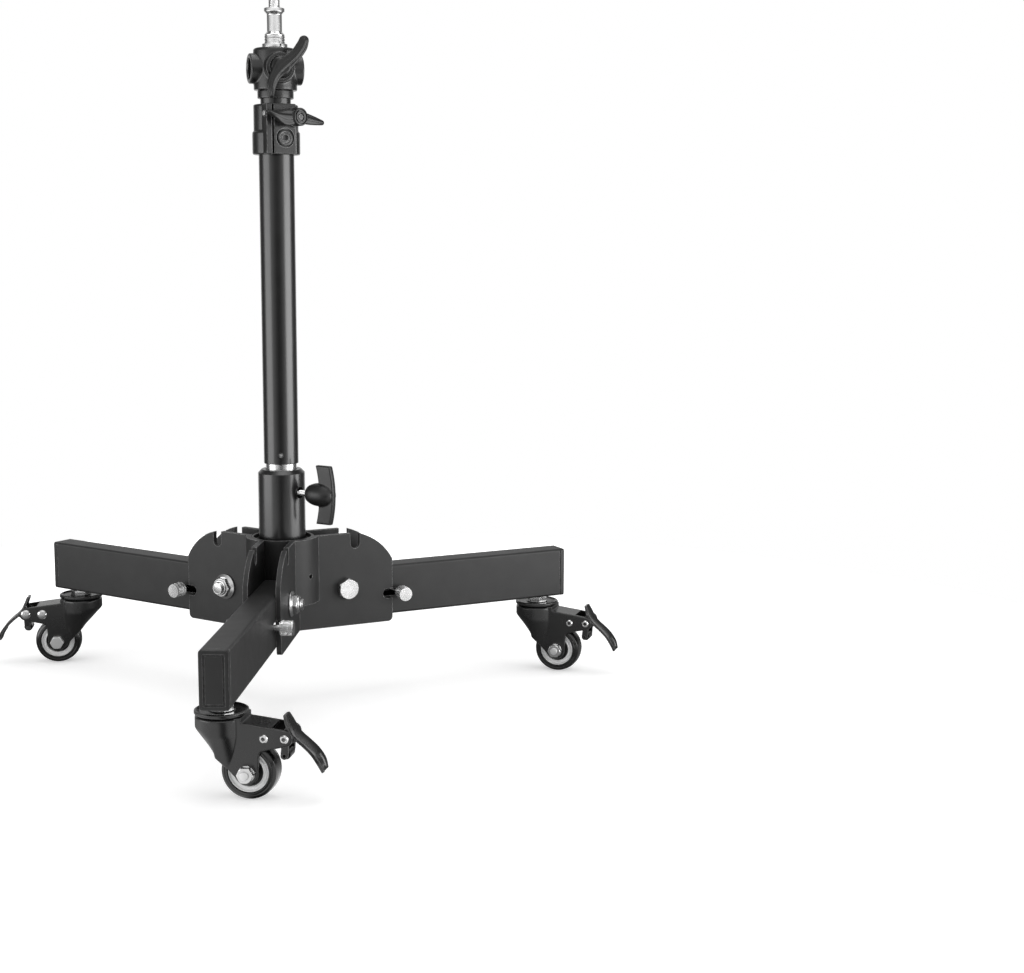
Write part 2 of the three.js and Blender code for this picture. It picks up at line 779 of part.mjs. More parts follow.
// Fork side outline, in from the stem axis along +X and up from the floor
function forkOutline() {
  const shape = new THREE.Shape();
  shape.moveTo(-forkTopRadius, forkTop);
  shape.lineTo(-forkTopRadius, forkTop - forkBackDrop);
  shape.absarc(wheelTrail, axleHeight, forkLobeRadius, degrees(forkLobeStart), degrees(forkLobeEnd));
  shape.lineTo(wheelTrail + forkThroatReach, axleHeight + forkThroatRise);
  shape.absarc(forkArmX, forkArmZ, forkArmRadius, degrees(forkArmStart), degrees(forkArmEnd));
  shape.lineTo(forkShoulderX, forkShoulderZ);
  shape.lineTo(forkShelfX, forkShelfZ);
  shape.lineTo(forkShelfX, forkTop);
  return shape;
}

function casterFork() {
  const armEnd = forkArmX + forkArmRadius + overrun;
  const dome = solid(rod(forkTopRadius, forkTop - forkTopHeight, forkTop, wheelSides));
  const plan = join(
    solid(rod(forkTopRadius, axleHeight + forkCupRise, casterHeight, wheelSides)),
    solid(box(armEnd, 2 * forkOuterHalf, casterHeight, armEnd / 2, 0, casterHeight / 2)),
  );
  const wide = solid(sideSlab(forkOutline(), -forkTopRadius, forkTopRadius, arcSteps));
  const shell = join(dome, wide).intersect(plan);
  const hollowTop = forkTop - forkWall;
  const hollowEnd = armEnd + overrun;
  const hollowStart = forkBackWall - forkTopRadius;
  const hollow = box(hollowEnd - hollowStart, 2 * forkInnerHalf, hollowTop,
    (hollowStart + hollowEnd) / 2, 0, hollowTop / 2);
  const roofShape = new THREE.Shape([
    new THREE.Vector2(forkShelfX, forkTop - gap),
    new THREE.Vector2(forkShelfX, forkShelfZ),
    new THREE.Vector2(forkShoulderX, forkShoulderZ),
    new THREE.Vector2(forkShoulderX, forkShoulderZ - forkWall),
    new THREE.Vector2(forkShelfX - forkWall, forkShelfZ - forkWall),
    new THREE.Vector2(forkShelfX - forkWall, forkTop - gap),
  ]);
  const roof = solid(sideSlab(roofShape, -forkInnerHalf - gap, forkInnerHalf + gap));
  const rivets = [];
  const springPlace = [wheelTrail + springRivetReach, axleHeight + wheelRadius + springRivetRise];
  for (const [x, z] of [springPlace, [forkArmX, forkArmZ]]) {
    const reach = forkOuterHalf + rivetHeadHeight;
    rivets.push(solid(moved(rodAlongY(rivetRadius, -reach, reach, smallSides), x, 0, z)));
    for (const side of [-1, 1]) {
      const head = rodAlongY(rivetHeadRadius, forkOuterHalf - gap, reach, smallSides);
      if (side < 0) head.rotateZ(Math.PI);
      rivets.push(solid(moved(head, x, 0, z)));
    }
  }
  const kingpinHole = rod(kingpinRadius + gap, hollowTop - overrun, casterHeight);
  const axleReach = forkOuterHalf + overrun;
  const axleHole = rodAlongY(axleRadius + gap, -axleReach, axleReach, boltSides);
  const placedAxleHole = moved(axleHole, wheelTrail, 0, axleHeight);
  const open = cut(join(cut(shell, solid(hollow)), roof), solid(kingpinHole), solid(placedAxleHole));
  return join(open, ...rivets);
}

function tyre() {
  const half = wheelWidth / 2;
  const profile = [[tyreBoreRadius, -half + tyreLipDepth], [tyreBoreRadius + tyreLip, -half]];
  const treadEdge = wheelRadius - tyreRound;
  profile.push([treadEdge, -half]);
  for (const turn of [1, 2]) {
    const angle = turn * Math.PI / 4;
    profile.push([treadEdge + tyreRound * Math.sin(angle), -half + tyreRound * (1 - Math.cos(angle))]);
  }
  const upper = profile.slice().reverse().map(([radius, height]) => [radius, -height]);
  const points = [...profile, ...upper, profile[0]];
  return turned(points, wheelSides).rotateX(Math.PI / 2);
}

function wheelHub() {
  const half = wheelWidth / 2;
  const outer = tyreBoreRadius - gap;
  const bore = axleRadius + gap;
  const lower = [
    [bore, -half],
    [hubBossRadius, -half],
    [hubBossRadius, -half + hubRecess],
    [hubRingRadius, -half + hubRecess],
    [hubRingRadius, -half],
    [outer, -half],
  ];
  const upper = lower.slice().reverse().map(([radius, height]) => [radius, -height]);
  return turned([...lower, ...upper, lower[0]], wheelSides).rotateX(Math.PI / 2);
}

// Axle bolt with its head at +Y and its thread end past the nut at -Y
function axleBolt() {
  const start = forkOuterHalf + gap;
  const head = hexagon(axleNutFlats, start, start + axleNutHeight);
  const shank = rod(axleRadius, -(start + axleNutHeight + axleEndLength), start + overrun, boltSides);
  return geometryOf(join(solid(head), solid(shank))).rotateX(-Math.PI / 2);
}

function axleNut() {
  const start = forkOuterHalf + gap;
  const body = hexagon(axleNutFlats, start, start + axleNutHeight);
  const bore = rod(axleRadius + gap, start - overrun, start + axleNutHeight + overrun, boltSides);
  return geometryOf(cut(solid(body), solid(bore))).rotateX(Math.PI / 2);
}

// A closed outline around a smooth line of [x, y, half width] points
function ribbon(points, steps) {
  const line = new THREE.SplineCurve(points.map(([x, y]) => new THREE.Vector2(x, y)));
  const widths = new THREE.SplineCurve(points.map(([, , half]) => new THREE.Vector2(half, 0)));
  const left = [];
  const right = [];
  for (let i = 0; i <= steps; i += 1) {
    const place = line.getPoint(i / steps);
    const along = line.getTangent(i / steps);
    const half = widths.getPoint(i / steps).x;
    left.push(new THREE.Vector2(place.x - along.y * half, place.y + along.x * half));
    right.push(new THREE.Vector2(place.x + along.y * half, place.y - along.x * half));
  }
  return new THREE.Shape([...left, ...right.reverse()]);
}

// Points given as shares of one length
function scaled(shares, length) {
  return shares.map((row) => row.map((share) => share * length));
}

// Brake pedal: a bent sheet with two ears that turn on the arm rivet, about the origin
function brakePedal() {
  const earOuter = forkInnerHalf - gap;
  const earInner = earOuter - pedalEarThickness;
  const halfSheet = pedalPlateThickness / 2;
  const line = scaled(pedalShares, pedalReach).map(([x, z]) => [x, z, halfSheet]);
  const blade = solid(sideSlab(ribbon(line, pedalSteps), -pedalWidth / 2, pedalWidth / 2));
  const joinLine = line.slice(pedalEarFirst, pedalEarLast + 1).reverse();
  const pieces = [blade];
  for (const side of [-1, 1]) {
    const [start, end] = side < 0 ? [-earOuter, -earInner] : [earInner, earOuter];
    const ear = new THREE.Shape();
    ear.absarc(0, 0, pedalEarRadius, degrees(pedalEarStart), degrees(pedalEarEnd));
    for (const [x, z] of joinLine) ear.lineTo(x, z);
    const padArm = slotShape(0, Math.hypot(padDrop, padBack), 0, padArmWidth);
    const arm = sideSlab(padArm, start, end, roundSteps);
    arm.rotateY(Math.PI / 2 + Math.atan2(padBack, padDrop));
    pieces.push(solid(sideSlab(ear, start, end, arcSteps)), solid(arm));
  }
  const padPin = moved(rodAlongY(padPinRadius, -earOuter, earOuter, smallSides), -padBack, 0, -padDrop);
  const bore = rodAlongY(rivetRadius + gap, -earOuter - overrun, earOuter + overrun, smallSides);
  return cut(join(...pieces, solid(padPin)), solid(bore));
}

function brakePad() {
  const pad = tube(padRadius, padPinRadius + gap, -padWidth / 2, padWidth / 2, boltSides);
  pad.rotateX(Math.PI / 2);
  return pad.translate(-padBack, 0, -padDrop);
}

// The three legs with everything that they carry
const parts = {
  bolt: pivotBolt(),
  nut: pivotNut(),
  tube: legTube(),
  cap: legCap(),
  pin: pinWithKnob(),
  knob: farKnob(),
  stem: casterStem(),
  fork: casterFork(),
  tyre: tyre(),
  wheel: wheelHub(),
  axle: axleBolt(),
  axleNut: axleNut(),
  pedal: brakePedal(),
  pad: brakePad(),
};

for (let i = 0; i < legCount; i += 1) {
  const n = i + 1;
  const leg = new THREE.Group();
  leg.rotation.z = degrees(legAzimuths[i]);
  leg.position.z = legTop;
  stand.add(leg);
  add(leg, `leg_tube_${n}`, parts.tube, blackCoat);
  add(leg, `leg_cap_${n}`, parts.cap, blackPlastic);

  const pivot = new THREE.Group();
  pivot.position.set(pivotRadialPlace, 0, -pivotDrop);
  leg.add(pivot);
  add(pivot, `pivot_bolt_${n}`, parts.bolt, zinc);
  add(pivot, `pivot_nut_${n}`, parts.nut, zinc);

  const lock = new THREE.Group();
  lock.position.set(pivotRadialPlace + pinFreeReach, 0, -pivotDrop - pinDrop);
  leg.add(lock);
  add(lock, `lock_pin_${n}`, parts.pin, zinc);
  add(lock, `lock_knob_${n}`, parts.knob, zinc);

  const caster = new THREE.Group();
  caster.position.set(stemRadialPlace, 0, -legTop);
  caster.rotation.z = degrees(casterAzimuths[i] - legAzimuths[i]);
  leg.add(caster);
  add(caster, `caster_stem_${n}`, parts.stem, blackCoat);
  add(caster, `caster_fork_${n}`, parts.fork, blackCoat);

  const axle = new THREE.Group();
  axle.position.set(wheelTrail, 0, axleHeight);
  caster.add(axle);
  add(axle, `caster_tyre_${n}`, parts.tyre, blackRubber);
  add(axle, `caster_wheel_${n}`, parts.wheel, paleRim);
  add(axle, `caster_axle_${n}`, parts.axle, zinc);
  add(axle, `axle_nut_${n}`, parts.axleNut, zinc);

  const pedal = new THREE.Group();
  pedal.position.set(forkArmX, 0, forkArmZ);
  caster.add(pedal);
  add(pedal, `brake_pedal_${n}`, parts.pedal, blackCoat);
  add(pedal, `brake_pad_${n}`, parts.pad, blackRubber);
}

// Column: the outer tube on its base spigot, with the telescope clamp on top
const column = new THREE.Group();
column.position.z = legTop;
stand.add(column);

const outerTube = tube(columnRadius, columnBoreRadius, columnBottom, columnTop, fineSides);
const tubeHole = moved(
  rodAlongX(tubeHoleRadius, baseSpigotRadius, columnRadius + overrun, smallSides),
  0,
  0,
  columnBottom + tubeHoleRise,
);
const outerTubeSolid = cut(solid(outerTube), solid(turnedAboutZ(tubeHole, tubeHoleAzimuth)));
add(column, 'outer_tube', outerTubeSolid, blackTube);
add(column, 'base_spigot', rod(baseSpigotRadius, socketFloor + gap, baseSpigotTop, fineSides), chrome);

// Where the clamp bolt's head and its far end lie, across the clamp's boss
function clampBoltHeadFace() {
  return -clampBossWidth / 2 - clampSplitWidth - clampEarWidth - gap - clampBoltHeadHeight;
}

function clampBoltEnd() {
  return clampBoltInBoss - clampBossWidth / 2;
}

// Everything on a radial axis is drawn with +X outwards and then turned to its azimuth
function clampBody() {
  const height = clampHeight;
  const boss = box(clampBossFace, clampBossWidth, height, clampBossFace / 2, 0, height / 2);
  const earWidth = clampEarWidth + clampSplitWidth;
  const earY = -clampBossWidth / 2 - earWidth / 2;
  const ear = box(clampEarFace, earWidth, height, clampEarFace / 2, earY, height / 2);
  const round = rod(clampRadius, 0, height, fineSides);
  const band = rod(clampBandRadius, 0, clampBandHeight, fineSides);
  const screwSeat = clampBossFace - clampScrewRecessDepth;
  const screwHole = rodAlongX(clampScrewRecessRadius, screwSeat, clampBossFace + overrun);
  const screwBore = rodAlongX(clampStudRadius + gap, columnRadius, clampBossFace, smallSides);
  const splitPlace = clampBossFace / 2 + clampSplitInside;
  const splitY = -clampBossWidth / 2 - clampSplitWidth / 2;
  const split = box(clampBossFace, clampSplitWidth, height + 2 * overrun, splitPlace, splitY, height / 2);
  const leverBoss = rodAlongX(clampLeverBossRadius, innerTubeRadius, clampLeverFace);
  const leverBore = rodAlongX(clampStudRadius + gap, 0, clampLeverFace + overrun, smallSides);
  const leverTurn = clampLeverAzimuth - clampBossAzimuth;
  const leverAt = (geometry) => turnedAboutZ(moved(geometry, 0, 0, height - clampLeverDrop), leverTurn);
  const boltStart = clampBoltHeadFace() - overrun;
  const boltBore = rodAlongY(clampBoltRadius + gap, boltStart, clampBoltEnd() + gap, smallSides);
  const lowerBore = rod(columnRadius + gap, -overrun, columnInClamp + gap, fineSides);
  const upperBore = rod(innerTubeRadius + gap, 0, height + overrun, fineSides);
  return cut(
    join(solid(round), solid(band), solid(boss), solid(ear), solid(leverAt(leverBoss))),
    solid(moved(screwHole, 0, 0, clampScrewHeight)),
    solid(moved(screwBore, 0, 0, clampScrewHeight)),
    solid(split),
    solid(leverAt(leverBore)),
    solid(moved(boltBore, clampBoltReach, 0, height - clampBoltDrop)),
    solid(lowerBore),
    solid(upperBore),
  );
}

function clampScrew() {
  const seat = clampBossFace - clampScrewRecessDepth + gap;
  const face = clampBossFace + gap;
  const head = rodAlongX(clampScrewHeadRadius, seat, face);
  const shank = rodAlongX(clampStudRadius, columnRadius + looseGap, seat + gap, smallSides);
  const socket = hexagon(clampScrewSocketFlats, 0, clampScrewSocketDepth + overrun);
  socket.rotateY(Math.PI / 2);
  return cut(join(solid(head), solid(shank)), solid(moved(socket, face - clampScrewSocketDepth, 0, 0)));
}

function clampBolt() {
  const headFace = clampBoltHeadFace();
  const shank = rodAlongY(clampBoltRadius, headFace, clampBoltEnd(), smallSides);
  const head = rodAlongY(clampBoltHeadRadius, headFace, headFace + clampBoltHeadHeight, smallSides);
  return join(solid(shank), solid(head));
}

const clampPlace = new THREE.Group();
clampPlace.position.z = clampBottom;
clampPlace.rotation.z = degrees(clampBossAzimuth);
column.add(clampPlace);
add(clampPlace, 'clamp_body', clampBody(), blackCast);
const clampBoltGeometry = geometryOf(clampBolt());
const clampBoltHeight = clampHeight - clampBoltDrop;
add(clampPlace, 'clamp_bolt', moved(clampBoltGeometry, clampBoltReach, 0, clampBoltHeight), zinc);
add(clampPlace, 'clamp_screw', moved(geometryOf(clampScrew()), 0, 0, clampScrewHeight), blackCast);

// A wing lever on a radial stud: hub and arms drawn facing along +X
function wingLever(stud, hub, outline) {
  const studBody = rodAlongX(stud.radius, stud.start, hub.start + overrun, smallSides);
  const hubBody = rodAlongX(hub.radius, hub.start, hub.start + hub.length);
  const arms = slab(outline, hub.armThickness);
  arms.rotateX(Math.PI / 2);
  arms.rotateZ(Math.PI / 2);
  arms.translate(hub.start + (hub.length - hub.armThickness) / 2, 0, 0);
  return join(solid(studBody), solid(hubBody), solid(arms));
}

const clampLever = wingLever(
  { radius: clampStudRadius, start: innerTubeRadius + looseGap },
  {
    radius: clampLeverHubRadius,
    start: clampLeverFace + gap,
    length: clampLeverHubLength,
    armThickness: clampLeverThickness,
  },
  ribbon(scaled(clampLeverShares, clampLeverReach), leverSteps),
);
const clampLeverPlace = new THREE.Group();
clampLeverPlace.rotation.z = degrees(clampLeverAzimuth);
clampLeverPlace.position.z = clampTop - clampLeverDrop;
column.add(clampLeverPlace);
add(clampLeverPlace, 'clamp_lever', clampLever, blackPlastic);

// Inner tube with its collar and head
const innerBottom = baseSpigotTop + innerTubeRoom;
const innerTop = headBottom + innerTubeInHead;
const innerTube = tube(innerTubeRadius, innerTubeRadius - innerTubeWall, innerBottom, innerTop, fineSides);
add(column, 'inner_tube', innerTube, blackTube);
const collarBore = innerTubeRadius + gap;
const collarTop = headBottom - gap;
const collarBottom = collarTop - headCollarHeight;
const collar = tube(collarBore + headCollarWall, collarBore, collarBottom, collarTop, fineSides);
add(column, 'head_collar', collar, blackCast);

function headBody() {
  const round = turned([
    [0, headBottom],
    [headRadius, headBottom],
    [headRadius, headTop - headEdgeRound],
    [headRadius - headEdgeRound * headEdgeShare, headTop - headEdgeRound * headEdgeShare],
    [headRadius - headEdgeRound, headTop],
    [0, headTop],
  ], fineSides);
  const along = rodAlongX(headBossRadius, -headBossReach, headBossReach);
  const across = rodAlongY(headBossRadius, -headBossReach, headBossReach);
  const body = join(
    solid(round),
    solid(moved(along, 0, 0, headBossHeight)),
    solid(moved(across, 0, 0, headBossHeight)),
  );
  const bores = [];
  for (const turn of [0, 90, 180, 270]) {
    const bore = rodAlongX(headSocketRadius, headSocketFloor, headBossReach + overrun);
    bores.push(solid(turnedAboutZ(moved(bore, 0, 0, headBossHeight), turn)));
  }
  const studRod = rodAlongX(headLeverStudRadius + gap, 0, headBossReach, smallSides);
  const studBore = moved(studRod, 0, 0, headBossHeight);
  const tubeSeat = headBottom + innerTubeInHead + gap;
  const tubeBore = rod(innerTubeRadius + gap, headBottom - overrun, tubeSeat, fineSides);
  const spigotBore = rod(spigotRadius + gap, spigotBottom - gap, headTop + overrun);
  return cut(body, ...bores, solid(studBore), solid(tubeBore), solid(spigotBore));
}

const headPlace = new THREE.Group();
headPlace.rotation.z = degrees(headAzimuth);
column.add(headPlace);
add(headPlace, 'head_body', headBody(), blackCast);

const headLever = wingLever(
  { radius: headLeverStudRadius, start: spigotRadius + looseGap },
  {
    radius: headLeverHubRadius,
    start: headBossReach + headLeverStandOff,
    length: headLeverHubLength,
    armThickness: headLeverThickness,
  },
  ribbon(scaled(headLeverShares, headLeverReach), leverSteps),
);
add(headPlace, 'head_lever', moved(geometryOf(headLever), 0, 0, headBossHeight), blackPlastic);

// Spigot: flange, waist and a threaded tip
function spigot() {
  const flangeRadius = spigotRadius + spigotFlangeStep;
  const waistRadius = spigotRadius - spigotWaistDepth;
  const points = [[0, spigotBottom], [spigotRadius, spigotBottom]];
  let z = headTop + gap;
  points.push([spigotRadius, z], [flangeRadius, z]);
  z += spigotFlangeHeight;
  points.push([flangeRadius, z], [spigotRadius, z]);
  z += spigotLowerHeight;
  points.push([spigotRadius, z]);
  z += spigotTaperHeight;
  points.push([waistRadius, z]);
  z += spigotWaistHeight;
  points.push([waistRadius, z]);
  z += spigotTaperHeight;
  points.push([spigotRadius, z]);
  z += spigotUpperHeight;
  points.push([spigotRadius, z], [threadRadius - threadDepth, z]);
  for (let turn = 0; turn < threadTurns; turn += 1) {
    points.push([threadRadius, z + threadPitch / 2]);
    z += threadPitch;
    points.push([threadRadius - threadDepth, z]);
  }
  points.push([0, z]);
  return turned(points);
}
add(column, 'spigot', spigot(), chrome);

// The origin goes to the bottom centre of the whole stand
const bounds = new THREE.Box3().setFromObject(stand, true);
const middle = bounds.getCenter(new THREE.Vector3());
stand.position.set(-middle.x, -middle.y, -bounds.min.z);

export default stand;
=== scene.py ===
# A low roller stand for lights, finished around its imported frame.
# Pieces are drawn in millimetres in their own frames and placed by the frame's joints and boxes.
import json
import math

import bmesh
import bpy
from mathutils import Matrix, Vector

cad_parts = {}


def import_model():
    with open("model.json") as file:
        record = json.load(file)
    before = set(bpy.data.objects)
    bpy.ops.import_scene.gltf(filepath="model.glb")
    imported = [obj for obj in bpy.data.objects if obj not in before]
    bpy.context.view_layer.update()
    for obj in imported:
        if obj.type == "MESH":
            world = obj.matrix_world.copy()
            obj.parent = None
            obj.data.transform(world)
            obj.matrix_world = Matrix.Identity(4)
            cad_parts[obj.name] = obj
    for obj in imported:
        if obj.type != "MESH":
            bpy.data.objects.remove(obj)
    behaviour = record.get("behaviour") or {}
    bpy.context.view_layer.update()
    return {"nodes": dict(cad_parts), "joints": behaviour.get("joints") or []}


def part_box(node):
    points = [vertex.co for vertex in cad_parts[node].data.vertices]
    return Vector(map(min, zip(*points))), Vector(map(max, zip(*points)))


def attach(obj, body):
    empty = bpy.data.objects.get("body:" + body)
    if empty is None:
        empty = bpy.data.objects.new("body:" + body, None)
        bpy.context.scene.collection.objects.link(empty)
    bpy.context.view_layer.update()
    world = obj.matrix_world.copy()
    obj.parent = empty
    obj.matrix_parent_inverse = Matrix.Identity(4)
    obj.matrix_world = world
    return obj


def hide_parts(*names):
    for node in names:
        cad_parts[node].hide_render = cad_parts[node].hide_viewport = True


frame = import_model()

scene = bpy.context.scene
MM = 0.001
TURN = 2 * math.pi

# Clearance between pieces that fit in one another
clearance = 0.3

# Edges that turn by more than these degrees are rounded, and shaded as sharp
edge_angle = 32
casting_angle = 40

# Camera, in millimetres and degrees, from the column's axis and the floor
camera_place = (244.5, -1324.9, 382.2)
camera_tilt = 81.405
camera_turn = 2.426
camera_roll = 0.308
camera_lens = 58.049
camera_sensor = 36.0

# Places read from the frame
joints = {joint["name"]: joint for joint in frame["joints"]}
cad_nodes = frame["nodes"]


def joint_place(name):
    return Vector(joints[name]["pos_m"]) / MM


def joint_azimuth(name):
    x, y, _ = joints[name]["axis"]
    return math.degrees(math.atan2(y, x))


def span(node):
    """Heights of a node's lowest and highest points."""
    return [corner.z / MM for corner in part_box(node)]


column_x, column_y, _ = joint_place("socket_knob_turn")
leg_top = span("leg_tube_1")[1]
leg_numbers = (1, 2, 3)


def shift(x=0.0, y=0.0, z=0.0):
    return Matrix.Translation((x, y, z))


def turn_z(degrees):
    return Matrix.Rotation(math.radians(degrees), 4, "Z")


def upright(x, y, z, azimuth=0.0):
    """A frame at a place, with +Z up and +X turned to an azimuth."""
    return shift(x, y, z) @ turn_z(azimuth)


def on_column(z, azimuth=0.0):
    return upright(column_x, column_y, z, azimuth)


def leg_azimuth(n):
    return joint_azimuth(f"leg_fold_{n}") + 90


def caster_azimuth(n):
    return joint_azimuth(f"wheel_spin_{n}") - 90


def leg_frame(n):
    return on_column(leg_top, leg_azimuth(n))


def caster_frame(n):
    place = joint_place(f"caster_swivel_{n}")
    return upright(place.x, place.y, 0, caster_azimuth(n))


def joint_frame(name):
    return upright(*joint_place(name), joint_azimuth(name))


# Turns a solid drawn along +Z so that it lies along +X, +Y or -Y
ALONG_X = Matrix(((0, 0, 1, 0), (1, 0, 0, 0), (0, 1, 0, 0), (0, 0, 0, 1)))
ALONG_Y = Matrix.Rotation(math.radians(-90), 4, "X")
BACK_Y = Matrix.Rotation(math.radians(90), 4, "X")

# Outlines and profiles


def evenly(low, high, count):
    """Evenly spaced values from low to high, both included."""
    return [low + (high - low) * i / count for i in range(count + 1)]


def arc(x, y, radius, start, end, steps=16):
    """Points of an arc between two angles in degrees."""
    turns = [math.radians(angle) for angle in evenly(start, end, steps)]
    return [(x + radius * math.cos(a), y + radius * math.sin(a)) for a in turns]


def rounded(corners, steps=5, closed=True):
    """A line through (x, y, radius) corners, each rounded to its radius."""
    points = []
    last = len(corners) - 1
    for i, (x, y, radius) in enumerate(corners):
        if radius == 0 or (not closed and i in (0, last)):
            points.append((x, y))
            continue
        here = Vector((x, y))
        before = (Vector(corners[i - 1][:2]) - here).normalized()
        after = (Vector(corners[(i + 1) % len(corners)][:2]) - here).normalized()
        half = before.angle(after) / 2
        centre = here + (before + after).normalized() * (radius / math.sin(half))
        start = here + before * (radius / math.tan(half)) - centre
        end = here + after * (radius / math.tan(half)) - centre
        sweep = end.angle(start) * (1 if start.cross(end) > 0 else -1)
        first = math.atan2(start.y, start.x)
        for step in range(steps + 1):
            angle = first + sweep * step / steps
            points.append((centre.x + radius * math.cos(angle), centre.y + radius * math.sin(angle)))
    return points


def rectangle(width, height, radius):
    w, h = width / 2, height / 2
    return rounded([(-w, -h, radius), (w, -h, radius), (w, h, radius), (-w, h, radius)])


def hexagon(flats):
    reach = flats / math.sqrt(3)
    return [(reach * math.cos(k * TURN / 6), reach * math.sin(k * TURN / 6)) for k in range(6)]


def catmull(points, steps):
    """A smooth line through points of any number of values."""
    padded = [points[0], *points, points[-1]]
    line = []
    for i in range(len(points) - 1):
        before, start, end, after = [Vector(p) for p in padded[i:i + 4]]
        for step in range(steps):
            t = step / steps
            line.append(0.5 * (
                2 * start + (end - before) * t
                + (2 * before - 5 * start + 4 * end - after) * t ** 2
                + (3 * start - before - 3 * end + after) * t ** 3
            ))
    line.append(Vector(points[-1]))
    return line


def ribbon(shares, length, steps=8):
    """A closed outline round a smooth line of [x, y, half width] shares of a length."""
    line = catmull([[share * length for share in row] for row in shares], steps)
    left, right = [], []
    for i, point in enumerate(line):
        ahead = line[min(i + 1, len(line) - 1)] - line[max(i - 1, 0)]
        along = Vector((ahead.x, ahead.y)).normalized()
        left.append((point.x - along.y * point.z, point.y + along.x * point.z))
        right.append((point.x + along.y * point.z, point.y - along.x * point.z))
    first, last = line[0], line[-1]
    start_turn = math.degrees(math.atan2(left[0][1] - first.y, left[0][0] - first.x))
    end_turn = math.degrees(math.atan2(right[-1][1] - last.y, right[-1][0] - last.x))
    nose = arc(last.x, last.y, last.z, end_turn + 180, end_turn, 10)[1:-1]
    tail = arc(first.x, first.y, first.z, start_turn + 180, start_turn, 10)[1:-1]
    return left + nose + right[::-1] + tail


# Solids in millimetres


def mesh_from(bm):
    bmesh.ops.remove_doubles(bm, verts=bm.verts, dist=1e-4)
    bmesh.ops.recalc_face_normals(bm, faces=bm.faces)
    mesh = bpy.data.meshes.new("solid")
    bm.to_mesh(mesh)
    bm.free()
    return mesh


def wall(bm, rings, steps):
    """Faces between rings of vertices, where a ring of one vertex is a pole."""
    for lower, upper in zip(rings, rings[1:]):
        for i in range(steps):
            around = ((lower, i), (lower, i + 1), (upper, i + 1), (upper, i))
            corners = list(dict.fromkeys(row[k % len(row)] for row, k in around))
            if len(corners) > 2:
                bm.faces.new(corners)


def surface(radius_at, heights, steps):
    """A solid round Z whose radius is a function of turn and height, closed at both ends."""
    levels = []
    for height in heights:
        outline = []
        for step in range(steps):
            angle = TURN * step / steps
            radius = radius_at(step / steps, height)
            outline.append((radius * math.cos(angle), radius * math.sin(angle)))
        levels.append((outline, height))
    return stacked(levels)


def lathe(profile, steps=72):
    """A solid turned about Z from (radius, height) points, from axis to axis or closed on themselves."""
    bm = bmesh.new()
    rings = []
    for radius, height in profile:
        count = steps if radius > 1e-6 else 1
        turns = [TURN * step / steps for step in range(count)]
        rings.append([bm.verts.new((radius * math.cos(a), radius * math.sin(a), height)) for a in turns])
    wall(bm, rings, steps)
    return mesh_from(bm)


def stacked(levels):
    """A solid through closed outlines of one point count, each at its own height."""
    bm = bmesh.new()
    rings = [[bm.verts.new((x, y, height)) for x, y in outline] for outline, height in levels]
    wall(bm, rings, len(rings[0]))
    bm.faces.new(rings[0])
    bm.faces.new(rings[-1])
    return mesh_from(bm)


def turned(corners, steps=72):
    """A lathe solid whose (radius, height, rounding) corners run from axis to axis."""
    return lathe(rounded(corners, closed=False), steps)


def hoop(corners, steps, edge_steps=5):
    """A ring turned about Z from the (radius, height, rounding) corners of its section."""
    points = rounded(corners, edge_steps)
    return lathe(points + points[:1], steps)


def ring(outer, inner, low, high, edge=0.3, steps=72):
    corners = [(inner, low, edge), (outer, low, edge), (outer, high, edge), (inner, high, edge)]
    return hoop(corners, steps, 3)


def rod(radius, low, high, edge=0.3, steps=48):
    return turned([(0, low, 0), (radius, low, edge), (radius, high, edge), (0, high, 0)], steps)


def threaded(radius, depth, pitch, low, high, steps=36):
    """A rod with a helical thread."""
    def radius_at(turn, height):
        phase = (height / pitch - turn) % 1
        return radius - depth * abs(2 * phase - 1)
    count = max(2, round((high - low) / pitch * 6))
    return surface(radius_at, evenly(low, high, count), steps)


def knurled(radius, depth, low, high, edge, teeth):
    """A knob with crossed knurling round it."""
    pitch = TURN * radius / teeth

    def radius_at(turn, height):
        first = abs(2 * ((turn * teeth + height / pitch) % 1) - 1)
        second = abs(2 * ((turn * teeth - height / pitch) % 1) - 1)
        fade = min(1, max(0, min(height - low, high - height) / edge))
        return radius - edge * 0.5 * (1 - fade) - depth * (1 - min(first, second)) * fade
    return surface(radius_at, evenly(low, high, 36), teeth * 4)


def evaluated(holder):
    graph = bpy.context.evaluated_depsgraph_get()
    mesh = bpy.data.meshes.new_from_object(holder.evaluated_get(graph))
    bpy.data.objects.remove(holder)
    return mesh


def added(name, data):
    """An object in the scene with some data."""
    made = bpy.data.objects.new(name, data)
    scene.collection.objects.link(made)
    return made


def working(data):
    return added("working", data)


def prism(outlines, low, high, edge=0.0):
    """A solid along Z from closed outlines, holes included, with its edges rounded."""
    curve = bpy.data.curves.new("outline", "CURVE")
    curve.dimensions = "2D"
    curve.fill_mode = "BOTH"
    curve.extrude = (high - low) / 2 - edge
    curve.bevel_depth = edge
    curve.bevel_resolution = 2
    curve.offset = -edge
    for outline in outlines:
        spline = curve.splines.new("POLY")
        spline.points.add(len(outline) - 1)
        for point, (x, y) in zip(spline.points, outline):
            point.co = (x, y, 0, 1)
        spline.use_cyclic_u = True
    mesh = evaluated(working(curve))
    bm = bmesh.new()
    bm.from_mesh(mesh)
    bm.transform(shift(0, 0, (low + high) / 2))
    return mesh_from(bm)


def box(x, y, z, edge=0.0):
    """A block between (low, high) pairs."""
    w, d = (x[1] - x[0]) / 2, (y[1] - y[0]) / 2
    outline = [(-w, -d), (w, -d), (w, d), (-w, d)]
    return at(prism([outline], z[0], z[1], edge), shift((x[0] + x[1]) / 2, (y[0] + y[1]) / 2))


